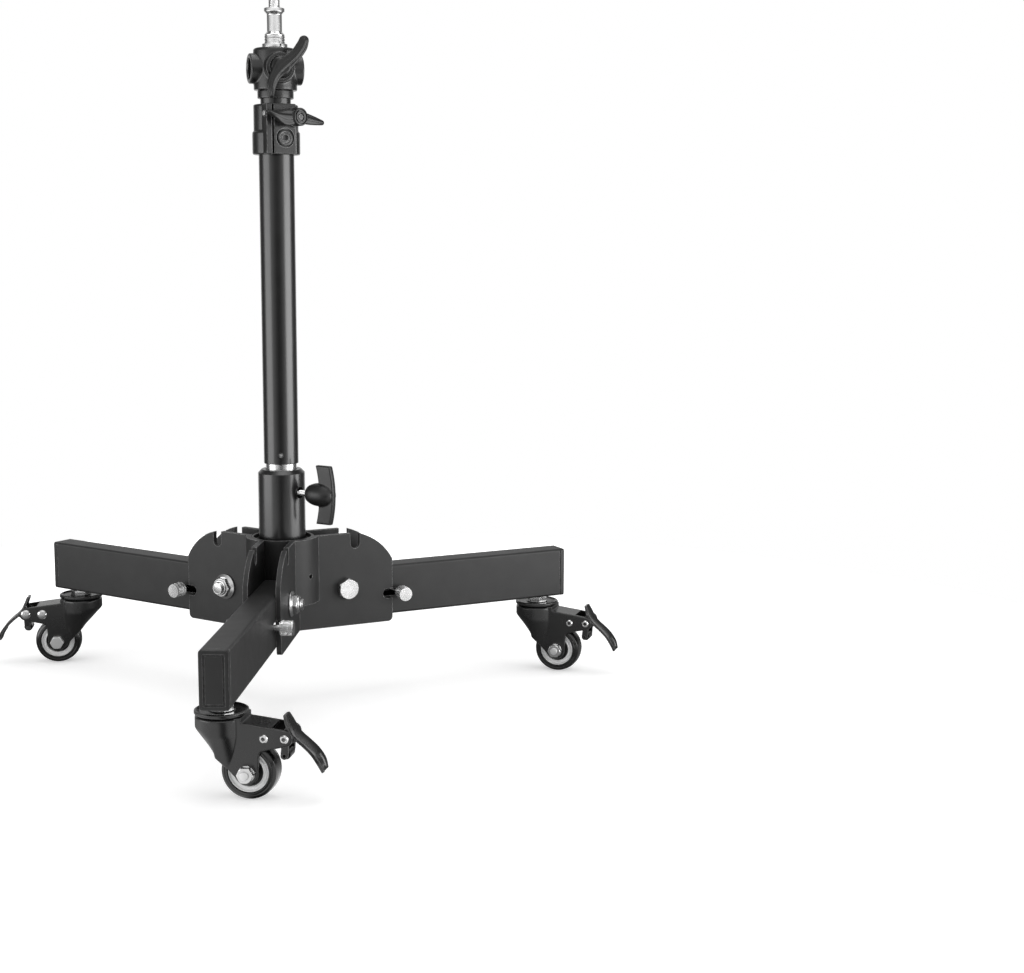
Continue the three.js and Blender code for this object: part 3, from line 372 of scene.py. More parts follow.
def at(mesh, matrix):
    copy = mesh.copy()
    copy.transform(matrix)
    return copy


def boolean(base, tools, operation):
    holder = working(base)
    helpers = []
    for tool in tools:
        helper = working(tool)
        modifier = holder.modifiers.new("step", "BOOLEAN")
        modifier.operation = operation
        modifier.solver = "EXACT"
        modifier.object = helper
        helpers.append(helper)
    mesh = evaluated(holder)
    for helper in helpers:
        bpy.data.objects.remove(helper)
    return mesh


def fused(base, *others):
    return boolean(base, others, "UNION")


def cut(base, *tools):
    return boolean(base, tools, "DIFFERENCE")


def common(base, *tools):
    return boolean(base, tools, "INTERSECT")


def moulded(mesh, grain, passes):
    """A casting or moulding: one skin over the whole, with its edges and inner corners rounded."""
    holder = working(mesh)
    remesh = holder.modifiers.new("skin", "REMESH")
    remesh.mode = "VOXEL"
    remesh.voxel_size = grain
    smooth = holder.modifiers.new("soften", "SMOOTH")
    smooth.factor = 0.5
    smooth.iterations = passes
    return evaluated(holder)


def bevelled(mesh, width):
    """A solid with its sharp edges rounded."""
    bm = bmesh.new()
    bm.from_mesh(mesh)
    bmesh.ops.remove_doubles(bm, verts=bm.verts, dist=1e-3)
    bmesh.ops.dissolve_limit(bm, angle_limit=math.radians(0.6), verts=bm.verts, edges=bm.edges)
    clean = bpy.data.meshes.new("solid")
    bm.to_mesh(clean)
    bm.free()
    holder = working(clean)
    bevel = holder.modifiers.new("edges", "BEVEL")
    bevel.width = width
    bevel.segments = 2
    bevel.limit_method = "ANGLE"
    bevel.angle_limit = math.radians(edge_angle)
    return evaluated(holder)


def from_cad(node, width):
    """A CAD node's own shape with its edges rounded, in millimetres."""
    mesh = cad_nodes[node].data.copy()
    mesh.transform(Matrix.Scale(1 / MM, 4))
    return bevelled(mesh, width)


# Materials


def grey(level):
    """A grey as a colour socket holds it."""
    return level, level, level, 1.0


def link(tree, source, target):
    """Links a socket to another one, or sets it to a value."""
    if isinstance(source, bpy.types.NodeSocket):
        tree.links.new(source, target)
    else:
        target.default_value = source


def preset(node, values):
    """Sets some of a node's own inputs to fixed values."""
    for name, value in values.items():
        node.inputs[name].default_value = value


def noise(tree, place, scale, detail=3.0, stretch=(1, 1, 1)):
    """A noise texture's level in the piece's own coordinates."""
    mapping = tree.nodes.new("ShaderNodeMapping")
    preset(mapping, {"Scale": stretch})
    texture = tree.nodes.new("ShaderNodeTexNoise")
    preset(texture, {"Scale": scale, "Detail": detail})
    link(tree, place, mapping.inputs["Vector"])
    link(tree, mapping.outputs["Vector"], texture.inputs["Vector"])
    return texture.outputs["Fac"]


def ranged(tree, level, *limits):
    """A level taken from one range to another."""
    node = tree.nodes.new("ShaderNodeMapRange")
    preset(node, dict(zip(("From Min", "From Max", "To Min", "To Max"), limits)))
    link(tree, level, node.inputs["Value"])
    return node.outputs["Result"]


def maths(tree, operation, first, second):
    """A level worked out from two levels."""
    node = tree.nodes.new("ShaderNodeMath")
    node.operation = operation
    link(tree, first, node.inputs[0])
    link(tree, second, node.inputs[1])
    return node.outputs["Value"]


def vector_maths(tree, operation, first, second=None):
    """The outputs of an operation on a vector and, where it takes one, another."""
    node = tree.nodes.new("ShaderNodeVectorMath")
    node.operation = operation
    link(tree, first, node.inputs[0])
    if second:
        link(tree, second, node.inputs[1])
    return node.outputs


def mixed(tree, share, first, second):
    """A colour between two, each a colour value or a socket."""
    node = tree.nodes.new("ShaderNodeMix")
    node.data_type = "RGBA"
    link(tree, share, node.inputs["Factor"])
    for value, name in ((first, "A"), (second, "B")):
        link(tree, value, next(s for s in node.inputs if s.name == name and s.type == "RGBA"))
    return next(s for s in node.outputs if s.type == "RGBA")


def edge_mask(tree, reach):
    """How far a point lies on a rounded edge, from the turn of its softened normal."""
    bevel = tree.nodes.new("ShaderNodeBevel")
    bevel.samples = 4
    preset(bevel, {"Radius": reach})
    normal = tree.nodes.new("ShaderNodeNewGeometry").outputs["Normal"]
    turn = vector_maths(tree, "DOT_PRODUCT", bevel.outputs["Normal"], normal)
    return ranged(tree, turn["Value"], 0.99, 0.86, 0, 1)


# Scales of the noise in every finish, per metre, and the reach of the worn edges with their painted edge
# highlight and depth of relief, in metres
mottle_scale = 55
patch_scale = 420
sheen_scale = 90
edge_reach = 0.0009
relief_depth = 0.0002
coat_roughness = 0.2


def material(name, base, spread, wear_and_highlight_grey, wear_and_highlight_share, roughness, rough_spread, grain, bump,
             metallic=0.0, coat=0.0, specular=0.5, stretch=(1, 1, 1)):
    """A finish with mottling, worn edges that are also lightened as a painted edge highlight, uneven gloss
    and a fine grain.
    """
    made = bpy.data.materials.new(name)
    made.use_nodes = True
    tree = made.node_tree
    shader = tree.nodes["Principled BSDF"]
    preset(shader, {"Metallic": metallic, "Specular IOR Level": specular, "Coat Weight": coat,
                    "Coat Roughness": coat_roughness})
    place = tree.nodes.new("ShaderNodeTexCoord").outputs["Object"]
    broad = noise(tree, place, mottle_scale, 4.0)
    fine = noise(tree, place, grain, 2.0, stretch)
    shade = mixed(tree, ranged(tree, broad, 0.35, 0.65, 0, 1), grey(base - spread), grey(base + spread))
    patchy = ranged(tree, noise(tree, place, patch_scale, 4.0), 0.40, 0.60, 0.35 * wear_and_highlight_share, wear_and_highlight_share)
    # Rounded edges are mixed towards a paler grey: partly wear, partly a painted highlight along the edges
    worn_and_highlit_edges = maths(tree, "MULTIPLY", edge_mask(tree, edge_reach), patchy)
    link(tree, mixed(tree, worn_and_highlit_edges, shade, grey(wear_and_highlight_grey)), shader.inputs["Base Color"])
    sheen = noise(tree, place, sheen_scale, 3.0)
    uneven = ranged(tree, sheen, 0.3, 0.7, roughness - rough_spread, roughness + rough_spread)
    link(tree, uneven, shader.inputs["Roughness"])
    relief = tree.nodes.new("ShaderNodeBump")
    preset(relief, {"Strength": bump, "Distance": relief_depth})
    link(tree, fine, relief.inputs["Height"])
    link(tree, relief.outputs["Normal"], shader.inputs["Normal"])
    return made


# Each look's finish and slot; its third and fourth numbers are the grey and share of its rounded edges,
# partly wear and partly a painted edge highlight
looks = {
    "coat": (material("satin_black_coat", 0.024, 0.002, 0.40, 0.9, 0.42, 0.02, 2600, 0.16,
                      specular=0.38), "black_coat"),
    "gloss": (material("glossy_black_coat", 0.006, 0.001, 0.20, 0.8, 0.28, 0.03, 2200, 0.10,
                       coat=0.5), "black_coat"),
    "tube": (material("black_tube_coat", 0.005, 0.001, 0.10, 0.5, 0.31, 0.02, 1800, 0.05, coat=0.7,
                      stretch=(1, 1, 0.15)), "black_tube"),
    "cast": (material("black_cast_coat", 0.008, 0.002, 0.50, 1.0, 0.34, 0.04, 1500, 0.24,
                      coat=0.4), "black_cast"),
    "plastic": (material("black_moulding", 0.008, 0.002, 0.20, 0.7, 0.38, 0.04, 1900, 0.22), "black_plastic"),
    "rubber": (material("black_tyre", 0.004, 0.001, 0.03, 0.3, 0.22, 0.04, 1200, 0.08,
                        coat=0.4), "black_rubber"),
    "chrome": (material("bright_chrome", 0.88, 0.02, 0.9, 0.2, 0.10, 0.03, 900, 0.04, metallic=1.0,
                        stretch=(1, 1, 14)), "chrome"),
    "zinc": (material("bright_zinc", 0.68, 0.06, 0.9, 0.7, 0.24, 0.06, 1600, 0.20, metallic=1.0), "zinc"),
    "satin": (material("satin_zinc", 0.80, 0.05, 0.9, 0.7, 0.48, 0.05, 1600, 0.12, metallic=1.0), "zinc"),
    "pale": (material("pale_wheel", 0.78, 0.04, 0.88, 0.5, 0.30, 0.05, 1300, 0.08, metallic=0.2), "pale_rim"),
}


def put(name, mesh, place, body, look, node=None, angle=edge_angle):
    """Adds a piece, drawn in millimetres in its own frame, hangs it on the body it rides on and hides the
    node it stands for.
    """
    data = mesh.copy()
    data.transform(Matrix.Scale(MM, 4) @ place)
    data.materials.clear()
    finish, slot = looks[look]
    data.materials.append(finish)
    data.shade_smooth()
    data.set_sharp_from_angle(angle=math.radians(angle))
    piece = added(name, data)
    weighted = piece.modifiers.new("even", "WEIGHTED_NORMAL")
    weighted.keep_sharp = True
    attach(piece, body)
    if node:
        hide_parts(node)


def put_thrice(frame_of, *pieces):
    """Adds rows of what put() takes to each leg or caster, its number in place of # in their names."""
    for n in leg_numbers:
        for name, mesh, place, body, look, node, *angle in pieces:
            name, body, node = (word.replace("#", str(n)) for word in (name, body, node))
            put(name, mesh, frame_of(n) @ place, body, look, node, *angle)


# Fasteners


def chamfered_hex(flats, low, high, chamfer=0.9):
    """A hexagon prism whose upper corners are turned down to a chamfer."""
    reach = flats / math.sqrt(3)
    cap = turned([(0, low - 1, 0), (reach + 1, low - 1, 0), (reach + 1, high - chamfer * 1.9, 0),
                  (flats / 2 - 0.1, high, 0), (0, high, 0)])
    return bevelled(common(prism([hexagon(flats)], low, high), cap), 0.18)


# Base

socket_radius = 19.0
socket_bore = 12.8
socket_chamfer = 3.0
socket_floor = 4.0
recess_radius = 4.7
recess_depth = 5.0
knob_hole_radius = 3.1
plate_edge = 0.75
hub_tube_rim = 2.0
hub_tube_recess = 3.5
set_screw_radius = 2.0
set_screw_turn = 60


def base_socket():
    bottom, top = (z - leg_top for z in span("base_socket"))
    floor = bottom + socket_floor
    knob_height = joint_place("socket_knob_turn").z - leg_top
    body = turned([(0, bottom, 0), (socket_radius, bottom, 0.6), (socket_radius, top - socket_chamfer, 0.9),
                   (socket_radius - socket_chamfer, top, 0.8), (socket_bore, top, 0.4),
                   (socket_bore, floor, 0), (0, floor, 0)], 96)
    place = turn_z(joint_azimuth("socket_knob_turn")) @ shift(0, 0, knob_height) @ ALONG_X
    past = socket_radius + 4
    recess = at(rod(recess_radius, socket_radius - recess_depth, past, 0), place)
    hole = at(rod(knob_hole_radius, 2, past, 0), place)
    sleeve = bevelled(cut(body, recess, hole), 0.25)
    put("socket_sleeve", sleeve, on_column(leg_top), "root", "tube", "base_socket")


def hub():
    for n in leg_numbers:
        plate = from_cad(f"hub_plate_{n}", plate_edge)
        put(f"plate_{n}", plate, Matrix.Identity(4), "root", "coat", f"hub_plate_{n}")
    bottom, top = (z - leg_top for z in span("hub_tube"))
    low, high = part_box("hub_tube")
    outer = (high.x - low.x) / 2 / MM
    mouth = outer - hub_tube_rim
    bore = socket_radius + clearance
    step = top - hub_tube_recess
    sleeve = hoop([(bore, bottom, 0.3), (outer, bottom, 0.35), (outer, top, 0.5), (mouth, top, 0.5),
                   (mouth, step, 0.3), (bore, step, 0.3)], 96, 3)
    screw = rod(set_screw_radius, socket_radius - 2, outer + 2, 0)
    screws = [at(screw, turn_z(leg_azimuth(n) + set_screw_turn) @ ALONG_X) for n in leg_numbers]
    put("hub_sleeve", cut(sleeve, *screws), on_column(leg_top), "root", "coat", "hub_tube")
    base_socket()


# The knob's egg and bowed wing, by their reach from the column's axis
egg_start = 27.0
egg_length = 25.0
egg_radius = 9.4
egg_shares = ((0, 0.3), (0.03, 0.62), (0.12, 0.8), (0.3, 0.96), (0.5, 1), (0.72, 0.93), (0.9, 0.7), (1, 0.4))
wing_back = 39.3
wing_front = 53.3
wing_half_length = 23.9
wing_half_thickness = 2.5
wing_bow = 3.3
knob_stud_radius = 2.5
knob_stud_start = 13.1


def bow(reach, steps=18):
    """Points of a bowed line across the knob's axis."""
    ends = reach - wing_bow
    start, middle, end = (ends, -wing_half_length), (reach + wing_bow, 0), (ends, wing_half_length)
    return [tuple(a * (1 - t) ** 2 + b * 2 * t * (1 - t) + c * t ** 2 for a, b, c in zip(start, middle, end))
            for t in evenly(0, 1, steps)]


def socket_knob():
    line = catmull([(along * egg_length, across * egg_radius) for along, across in egg_shares], 5)
    egg = lathe([(0, 0)] + [(p.y, p.x) for p in line] + [(0, egg_length)])
    outline = bow(wing_back) + bow(wing_front)[::-1]
    wing = at(prism([outline], -wing_half_thickness, wing_half_thickness, 1.1), BACK_Y)
    body = moulded(fused(at(egg, shift(egg_start) @ ALONG_X), wing), 0.4, 8)
    place = joint_frame("socket_knob_turn")
    put("knob_grip", body, place, "socket_knob", "plastic", "socket_knob")
    stud = threaded(knob_stud_radius, 0.3, 1.0, knob_stud_start, egg_start + 1.5)
    put("knob_stud", at(stud, ALONG_X), place, "socket_knob", "chrome")


hub()
socket_knob()

# Legs

leg_height = 42.0
leg_width = 21.0
leg_wall = 1.5
leg_corner = 2.2
leg_end = 260.0
cap_thickness = 4.0
cap_seam = 0.5
stem_reach = (joint_place("caster_swivel_1") - joint_place("socket_knob_turn")).xy.length
pivot_reach = 50.0
leg_inside_pivot = 18.5
pivot_drop = 15.0
pin_drop = 8.0
pin_locked = 87.0
pin_free = 98.94
pin_slot_width = 6.2
pin_radius = 2.5
pin_half_length = 17.0
cheek_outer = 14.8
bolt_face = cheek_outer + clearance
bolt_radius = 5.0
bolt_hole_radius = 5.3
bolt_head_flats = 16
bolt_nut_flats = 15
lock_knob_start = cheek_outer + 0.6
lock_knob_radius = 6.2
lock_knob_length = 10.5


def leg_tube():
    """The box tube along +X, its tall side upright, with its slots, bolt hole and stem hole."""
    start = pivot_reach - leg_inside_pivot
    end = leg_end - cap_thickness - cap_seam
    outer = rectangle(leg_width, leg_height, leg_corner)
    inner = rectangle(leg_width - 2 * leg_wall, leg_height - 2 * leg_wall, leg_corner - leg_wall + clearance)
    tube = at(prism([outer, inner], start, end, 0.25), shift(0, 0, -leg_height / 2) @ ALONG_X)
    middle, half = -pivot_drop - pin_drop, pin_slot_width / 2
    slot = arc(pin_free, middle, half, -90, 90) + arc(pin_locked, middle, half, 90, 270)
    slots = at(prism([slot], -20, 20), BACK_Y)
    bolt_hole = at(rod(bolt_hole_radius, -20, 20, 0), shift(pivot_reach, 0, -pivot_drop) @ ALONG_Y)
    stem_hole = at(rod(bolt_hole_radius, -leg_height - 3, -leg_height + 4, 0), shift(stem_reach))
    return cut(tube, slots, bolt_hole, stem_hole)


def leg_cap():
    """An end cap whose face has a stepped panel, with a plug inside the tube."""
    plug = leg_wall + clearance
    face = cap_thickness
    insets = [(plug + 0.6, -6), (plug, -5.4), (plug, 0), (0.35, 0), (0, 0.35), (0, face - 0.7),
              (0.25, face - 0.2), (0.8, face), (2.9, face), (3.1, face - 0.15), (3.3, face - 1.1),
              (3.7, face - 1.2), (4.1, face - 1.1), (4.3, face - 0.5), (4.5, face - 0.4)]
    levels = [(rectangle(leg_width - 2 * inset, leg_height - 2 * inset, max(0.3, leg_corner - inset)), height)
              for inset, height in insets]
    return at(stacked(levels), shift(leg_end - cap_thickness, 0, -leg_height / 2) @ ALONG_X)


def standing(start, corners, steps=72):
    """A lathe solid whose corners' heights are counted from a start."""
    return turned([(radius, start + height, edge) for radius, height, edge in corners], steps)


def pivot_bolt():
    head = chamfered_hex(bolt_head_flats, bolt_face, bolt_face + 6.4, 1.0)
    washer = rod(7.4, bolt_face, bolt_face + 0.5, 0.1)
    shank = rod(bolt_radius, -bolt_face, bolt_face + 2, 0.2)
    return at(fused(at(head, turn_z(30)), washer, shank), BACK_Y)


def pivot_thread():
    end = threaded(bolt_radius, 0.55, 1.5, bolt_face - 1, bolt_face + 7.5 + 2.4)
    tip = standing(bolt_face, [(0, 9, 0), (4.45, 9, 0), (4.45, 9.9, 0.4), (0, 10.5, 0)], 36)
    return at(fused(end, tip), ALONG_Y)


def pivot_nut():
    """A flange nut with its nylon ring."""
    body = chamfered_hex(bolt_nut_flats, bolt_face, bolt_face + 6.2, 0.9)
    flange = standing(bolt_face, [(0, 0, 0), (10.6, 0, 0.2), (10.6, 1.1, 0.5), (8.2, 2.6, 0.6), (0, 2.6, 0)])
    collar = standing(bolt_face, [(0, 0, 0), (6.6, 0, 0), (6.6, 7.5, 0.9), (0, 7.5, 0)])
    bore = rod(bolt_radius + 0.02, bolt_face - 1, bolt_face + 9, 0)
    return at(cut(fused(body, flange, collar), bore), ALONG_Y)


def lock_knob():
    end = lock_knob_start + lock_knob_length
    body = knurled(lock_knob_radius, 0.8, lock_knob_start, end, 1.1, 24)
    dish = standing(end, [(0, -0.4, 0), (4.9, 0.1, 0), (4.9, 1.5, 0), (0, 1.5, 0)])
    return cut(body, dish)


pin_mesh = at(rod(pin_radius, -pin_half_length, pin_half_length, 0.2), ALONG_Y)
knob_mesh = lock_knob()
to_pivot = shift(pivot_reach, 0, -pivot_drop)
to_lock = shift(pin_free, 0, -pivot_drop - pin_drop)
put_thrice(
    leg_frame,
    ("leg_#_box", leg_tube(), shift(), "leg_#", "coat", "leg_tube_#"),
    ("leg_#_end", leg_cap(), shift(), "leg_#", "plastic", "leg_cap_#"),
    ("leg_#_bolt", pivot_bolt(), to_pivot, "root", "zinc", "pivot_bolt_#"),
    ("leg_#_bolt_end", pivot_thread(), to_pivot, "root", "zinc", "pivot_bolt_#"),
    ("leg_#_nut", pivot_nut(), to_pivot, "root", "zinc", "pivot_nut_#"),
    ("lock_#_pin", pin_mesh, to_lock, "lock_#", "zinc", "lock_pin_#"),
    ("lock_#_knob_near", at(knob_mesh, BACK_Y), to_lock, "lock_#", "zinc", "lock_pin_#"),
    ("lock_#_knob_far", at(knob_mesh, ALONG_Y), to_lock, "lock_#", "zinc", "lock_knob_#"),
)

# Casters, with the stem's axis on Z, the floor at zero and the wheel trailing along +X


def caster_point(name):
    """Reach and height of a joint of the first caster."""
    place = joint_place(name)
    away = place - joint_place("caster_swivel_1")
    turn = math.radians(caster_azimuth(1))
    return away.x * math.cos(turn) + away.y * math.sin(turn), place.z


wheel_trail, wheel_radius = caster_point("wheel_spin_1")
arm_x, arm_z = caster_point("brake_pedal_1")
arm_radius = 5.6
rivet_x, rivet_z = 33.1, 45.2
rivet_rise = 1.3
axle_radius = 3.0
axle_flats = 10.5
stem_radius = 5.0
stem_top = 79.0
stem_nut_flats = 15
fork_inner = 9.8
fork_outer = 12.0
fork_top = 58.7
fork_radius = 18.3
fork_wall = 2.2
fork_end = 52.0
fork_slant = 49.5
fork_lobe = 8.2
cup_low = 18.0
cup_high = 46.0
cup_crown = 2.0
cup_least_nose = 3.0
shelf_start, shelf_start_top = 17.3, 55.1
shelf_end, shelf_end_top = 38.0, 52.6


def race():
    """The race disc under the stem, with a dished top, and the kingpin's head below."""
    low, high = 59.0, 62.0
    dish = high - 1.2
    return turned([(0, 54, 0), (6.5, 54, 0.8), (6.5, 56.2, 0.3), (4, 56.2, 0), (4, low, 0), (18.8, low, 0.9),
                   (18.8, high - 0.6, 0.6), (17.4, high, 0.8), (15.2, dish, 0.8), (9.6, dish, 0.3),
                   (9.0, high - 0.5, 0.3), (0, high - 0.5, 0)], 96)


def stem_nut():
    nut = chamfered_hex(stem_nut_flats, 61.4, 65.7, 0.5)
    stem = threaded(stem_radius, 0.5, 1.5, 65, stem_top)
    return fused(nut, stem)


def fork_outline():
    """Side view of the fork: crown, slanting nose, axle lobe, throat, brake arm and shelf."""
    lobe = arc(wheel_trail, wheel_radius, fork_lobe, 225, 368, 18)
    arm = arc(arm_x, arm_z, arm_radius, -80, 80, 16)
    throat = rounded([(*lobe[-1], 0), (wheel_trail + 8.9, 35.8, 4.5), (*arm[0], 0)], 8, closed=False)
    return ([(-fork_radius, fork_top), (-fork_radius, fork_slant)] + lobe + throat[1:-1] + arm
            + [(shelf_end, shelf_end_top), (shelf_start, shelf_start_top), (shelf_start, fork_top)])


def cup_side(height):
    """Half width of the round cup, which draws in to the cheeks below."""
    share = min(1, max(0, (height - cup_low) / (cup_high - cup_low)))
    return fork_outer + (fork_radius - fork_outer) * share


def cup_nose(height):
    """Reach of the cup's round nose, which slants back to the axle lobe below its top."""
    away = fork_lobe * math.sin(math.radians(45))
    slope = (fork_radius + wheel_trail - away) / (fork_slant - wheel_radius + away)
    return min(fork_radius, max(cup_least_nose, fork_radius - (fork_slant - height) * slope))


def crown_inset(height):
    """How far the cup rounds over below its top."""
    crown = max(0, height - fork_top + cup_crown)
    return cup_crown - math.sqrt(cup_crown ** 2 - crown * crown)


def cup_solid(inset, end, low, high):
    """The cup and the cheeks behind it as one upright solid, drawn in by an inset."""
    half = fork_outer - inset
    levels = []
    for height in evenly(low, high, 40):
        drawn = inset + crown_inset(height)
        side = max(half, cup_side(height) - drawn)
        nose = cup_nose(height) - drawn
        back = fork_radius - drawn
        start = math.degrees(math.asin(min(1, half / side)))
        turns = arc(0, 0, 1, start, 360 - start, 60)
        round_end = [(x * (nose if x < 0 else back), y * side) for x, y in turns]
        levels.append((round_end + [(end, -half), (end, half)], height))
    return stacked(levels)


def fork():
    """A stamped fork: a round cup that draws in to two flat cheeks, open below and behind the shelf."""
    side = at(prism([fork_outline()], -fork_radius - 1, fork_radius + 1), BACK_Y)
    shell = moulded(common(side, cup_solid(0, fork_end + 3, 0, fork_top)), 0.42, 5)
    inside_top = fork_top - fork_wall
    hollow = cup_solid(fork_wall, 13, -5, inside_top)
    outline = [(-8, -5), (60, -5), (60, 70), (shelf_end, 70), (shelf_end, shelf_end_top - fork_wall),
               (shelf_start, shelf_start_top - fork_wall), (13, inside_top), (-8, inside_top)]
    under_shelf = at(prism([outline], -fork_inner, fork_inner), BACK_Y)
    to_axle = shift(wheel_trail, 0, wheel_radius) @ ALONG_Y
    axle_hole = at(rod(axle_radius + clearance, -14, 14, 0), to_axle)
    return cut(shell, hollow, under_shelf, axle_hole)


def rivet():
    """Tubular rivets with a domed head on one cheek and a rolled end on the other."""
    rolled = standing(fork_outer, [(0, -0.3, 0), (3.1, -0.3, 0), (3.1, 0.4, 0.4), (2.3, rivet_rise, 0.4),
                                   (1.5, rivet_rise, 0.2), (1.3, 0, 0), (0, 0, 0)], 48)
    domed = standing(fork_outer, [(0, -0.3, 0), (4.2, -0.3, 0), (4.2, 0.4, 0.4), (2.9, rivet_rise + 0.1, 0.9),
                                  (0, rivet_rise + 0.4, 0)], 48)
    return fused(at(rod(2, -fork_outer, fork_outer, 0), ALONG_Y), at(domed, ALONG_Y), at(rolled, BACK_Y))


def wheel_ring(half):
    """A ring round the axle from the (radius, depth, rounding) corners of one of its sides."""
    other = [(radius, -depth, edge) for radius, depth, edge in reversed(half)]
    return at(hoop(half + other, 96), ALONG_Y)


def tyre():
    """A tyre with round shoulders and a groove in each side."""
    return wheel_ring([(14.6, -6.6, 0), (15.0, -8.3, 0.4), (16.4, -8.2, 0.3), (16.7, -7.7, 0.2),
                       (17.2, -8.0, 0.3), (19.4, -6.9, 1.5), (20.0, -3.0, 2.5)])


def wheel_core():
    """The dark wheel centre, dished round its hub."""
    return wheel_ring([(axle_radius + clearance, -8.4, 0), (5.2, -8.4, 0.4), (5.6, -5.4, 0.8),
                       (9.4, -4.9, 0.6), (10.3, -5.6, 0)])


def rim():
    """The pale ring of the wheel, rolled at both its edges."""
    return wheel_ring([(10.3, -5.0, 0), (10.3, -7.5, 0.3), (10.9, -7.7, 0.2), (11.4, -6.9, 0.3),
                       (12.9, -7.1, 0.5), (14.0, -8.2, 0.3), (14.45, -7.6, 0.2)])


def axle_head():
    face = fork_outer + clearance
    head = chamfered_hex(axle_flats, face, face + 4.6, 0.7)
    shank = rod(axle_radius, -face - 6.6, face + 1, 0.4)
    return at(fused(head, shank), ALONG_Y)


def axle_nut():
    face = fork_outer + clearance
    body = chamfered_hex(axle_flats, face, face + 5.0, 0.8)
    washer = rod(5.9, face, face + 0.7, 0.2)
    return at(cut(fused(body, washer), rod(axle_radius + 0.04, face - 1, face + 7, 0)), BACK_Y)


pedal_reach = 27.0
pedal_shares = [(-0.056, 0.537, 0.30), (0.03, 0.315, 0.47), (0.148, 0.089, 0.5), (0.304, -0.074, 0.48),
                (0.48, -0.22, 0.48), (0.68, -0.415, 0.5), (0.845, -0.66, 0.5), (0.933, -0.89, 0.34)]
pedal_width = 17.0
pad_drop = 12.6
TO_PAD = shift(-1, 0, -pad_drop) @ ALONG_Y


def pressed(along, side):
    """Depth of the line pressed into the tread, round a long field near its tip."""
    outside = 0.76 <= along <= 0.95 and abs(side) <= 0.52
    inside = 0.79 <= along <= 0.92 and abs(side) <= 0.36
    return 0.55 if outside and not inside else 0.0


def pedal_blade():
    """The bent sheet of the brake pedal, narrower at both ends, with a dished tread."""
    line = catmull([(x * pedal_reach, z * pedal_reach, half * pedal_width) for x, z, half in pedal_shares], 8)
    bm = bmesh.new()
    grid = []
    across = 20
    for i, point in enumerate(line):
        ahead = line[min(i + 1, len(line) - 1)] - line[max(i - 1, 0)]
        normal = Vector((ahead.y, -ahead.x)).normalized()
        row = []
        for k in range(across + 1):
            side = 2 * k / across - 1
            depth = 0.9 * (1 - side * side) + pressed(i / (len(line) - 1), side)
            row.append(bm.verts.new((point.x + normal.x * depth, side * point.z, point.y + normal.y * depth)))
        grid.append(row)
    wall(bm, grid, across)
    sheet = bpy.data.meshes.new("sheet")
    bm.to_mesh(sheet)
    bm.free()
    holder = working(sheet)
    solid = holder.modifiers.new("thick", "SOLIDIFY")
    solid.thickness = 2.0
    solid.offset = 0
    return evaluated(holder)


def pedal():
    """Blade, ears and pad arms of the pedal, about its rivet."""
    pieces = []
    joined = [(x * pedal_reach, z * pedal_reach) for x, z, _ in pedal_shares[1:4]]
    ear = arc(0, 0, 4.4, 110, 275, 14) + joined[::-1]
    arm = [(-2.4, -1), (2.4, -1), (1.7, -pad_drop)] + arc(-1, -pad_drop, 2.6, 0, -180, 12)
    for side in (-1, 1):
        start, end = sorted((side * 7.1, side * 9.5))
        for outline in (ear, arm):
            pieces.append(at(prism([outline], -end, -start, 0.3), BACK_Y))
    pin = at(rod(1.7, -9.4, 9.4, 0), TO_PAD)
    hollow = at(rod(1.2, -20, 20, 0), TO_PAD)
    return cut(fused(pedal_blade(), pin, *pieces), hollow)


def pad():
    return at(ring(3.7, 1.9, -5.5, 5.5, 0.6, 48), TO_PAD)


riveted = rivet()
to_wheel = shift(wheel_trail, 0, wheel_radius)
to_pedal = shift(arm_x, 0, arm_z)
put_thrice(
    caster_frame,
    ("caster_#_race", race(), shift(), "leg_#", "gloss", "caster_stem_#"),
    ("caster_#_stem_nut", stem_nut(), shift(), "leg_#", "zinc", "caster_stem_#"),
    ("caster_#_yoke", fork(), shift(), "caster_#", "gloss", "caster_fork_#", casting_angle),
    ("caster_#_rivet_1", riveted, shift(rivet_x, 0, rivet_z), "caster_#", "zinc", "caster_fork_#"),
    ("caster_#_rivet_2", riveted, to_pedal, "caster_#", "zinc", "caster_fork_#"),
    ("caster_#_tread", tyre(), to_wheel, "wheel_#", "rubber", "caster_tyre_#"),
    ("caster_#_rim", rim(), to_wheel, "wheel_#", "pale", "caster_wheel_#"),
    ("caster_#_core", wheel_core(), to_wheel, "wheel_#", "plastic", "caster_wheel_#"),
    ("caster_#_bolt", axle_head(), to_wheel, "caster_#", "satin", "caster_axle_#"),
    ("caster_#_nut", axle_nut(), to_wheel, "caster_#", "zinc", "axle_nut_#"),
    ("brake_#_lever", pedal(), to_pedal, "brake_#", "gloss", "brake_pedal_#", casting_angle),
    ("brake_#_roller", pad(), to_pedal, "brake_#", "rubber", "brake_pad_#"),
)

# Column

column_radius = 14.0
column_bore = 12.8
spigot_fit = 12.5
inner_radius = 12.0
inner_bore = 10.5
collar_radius = 14.2
foot_hole_azimuth = -80
foot_hole_height = 7.8
foot_hole_radius = 2.0
foot_blind_radius = 1.4


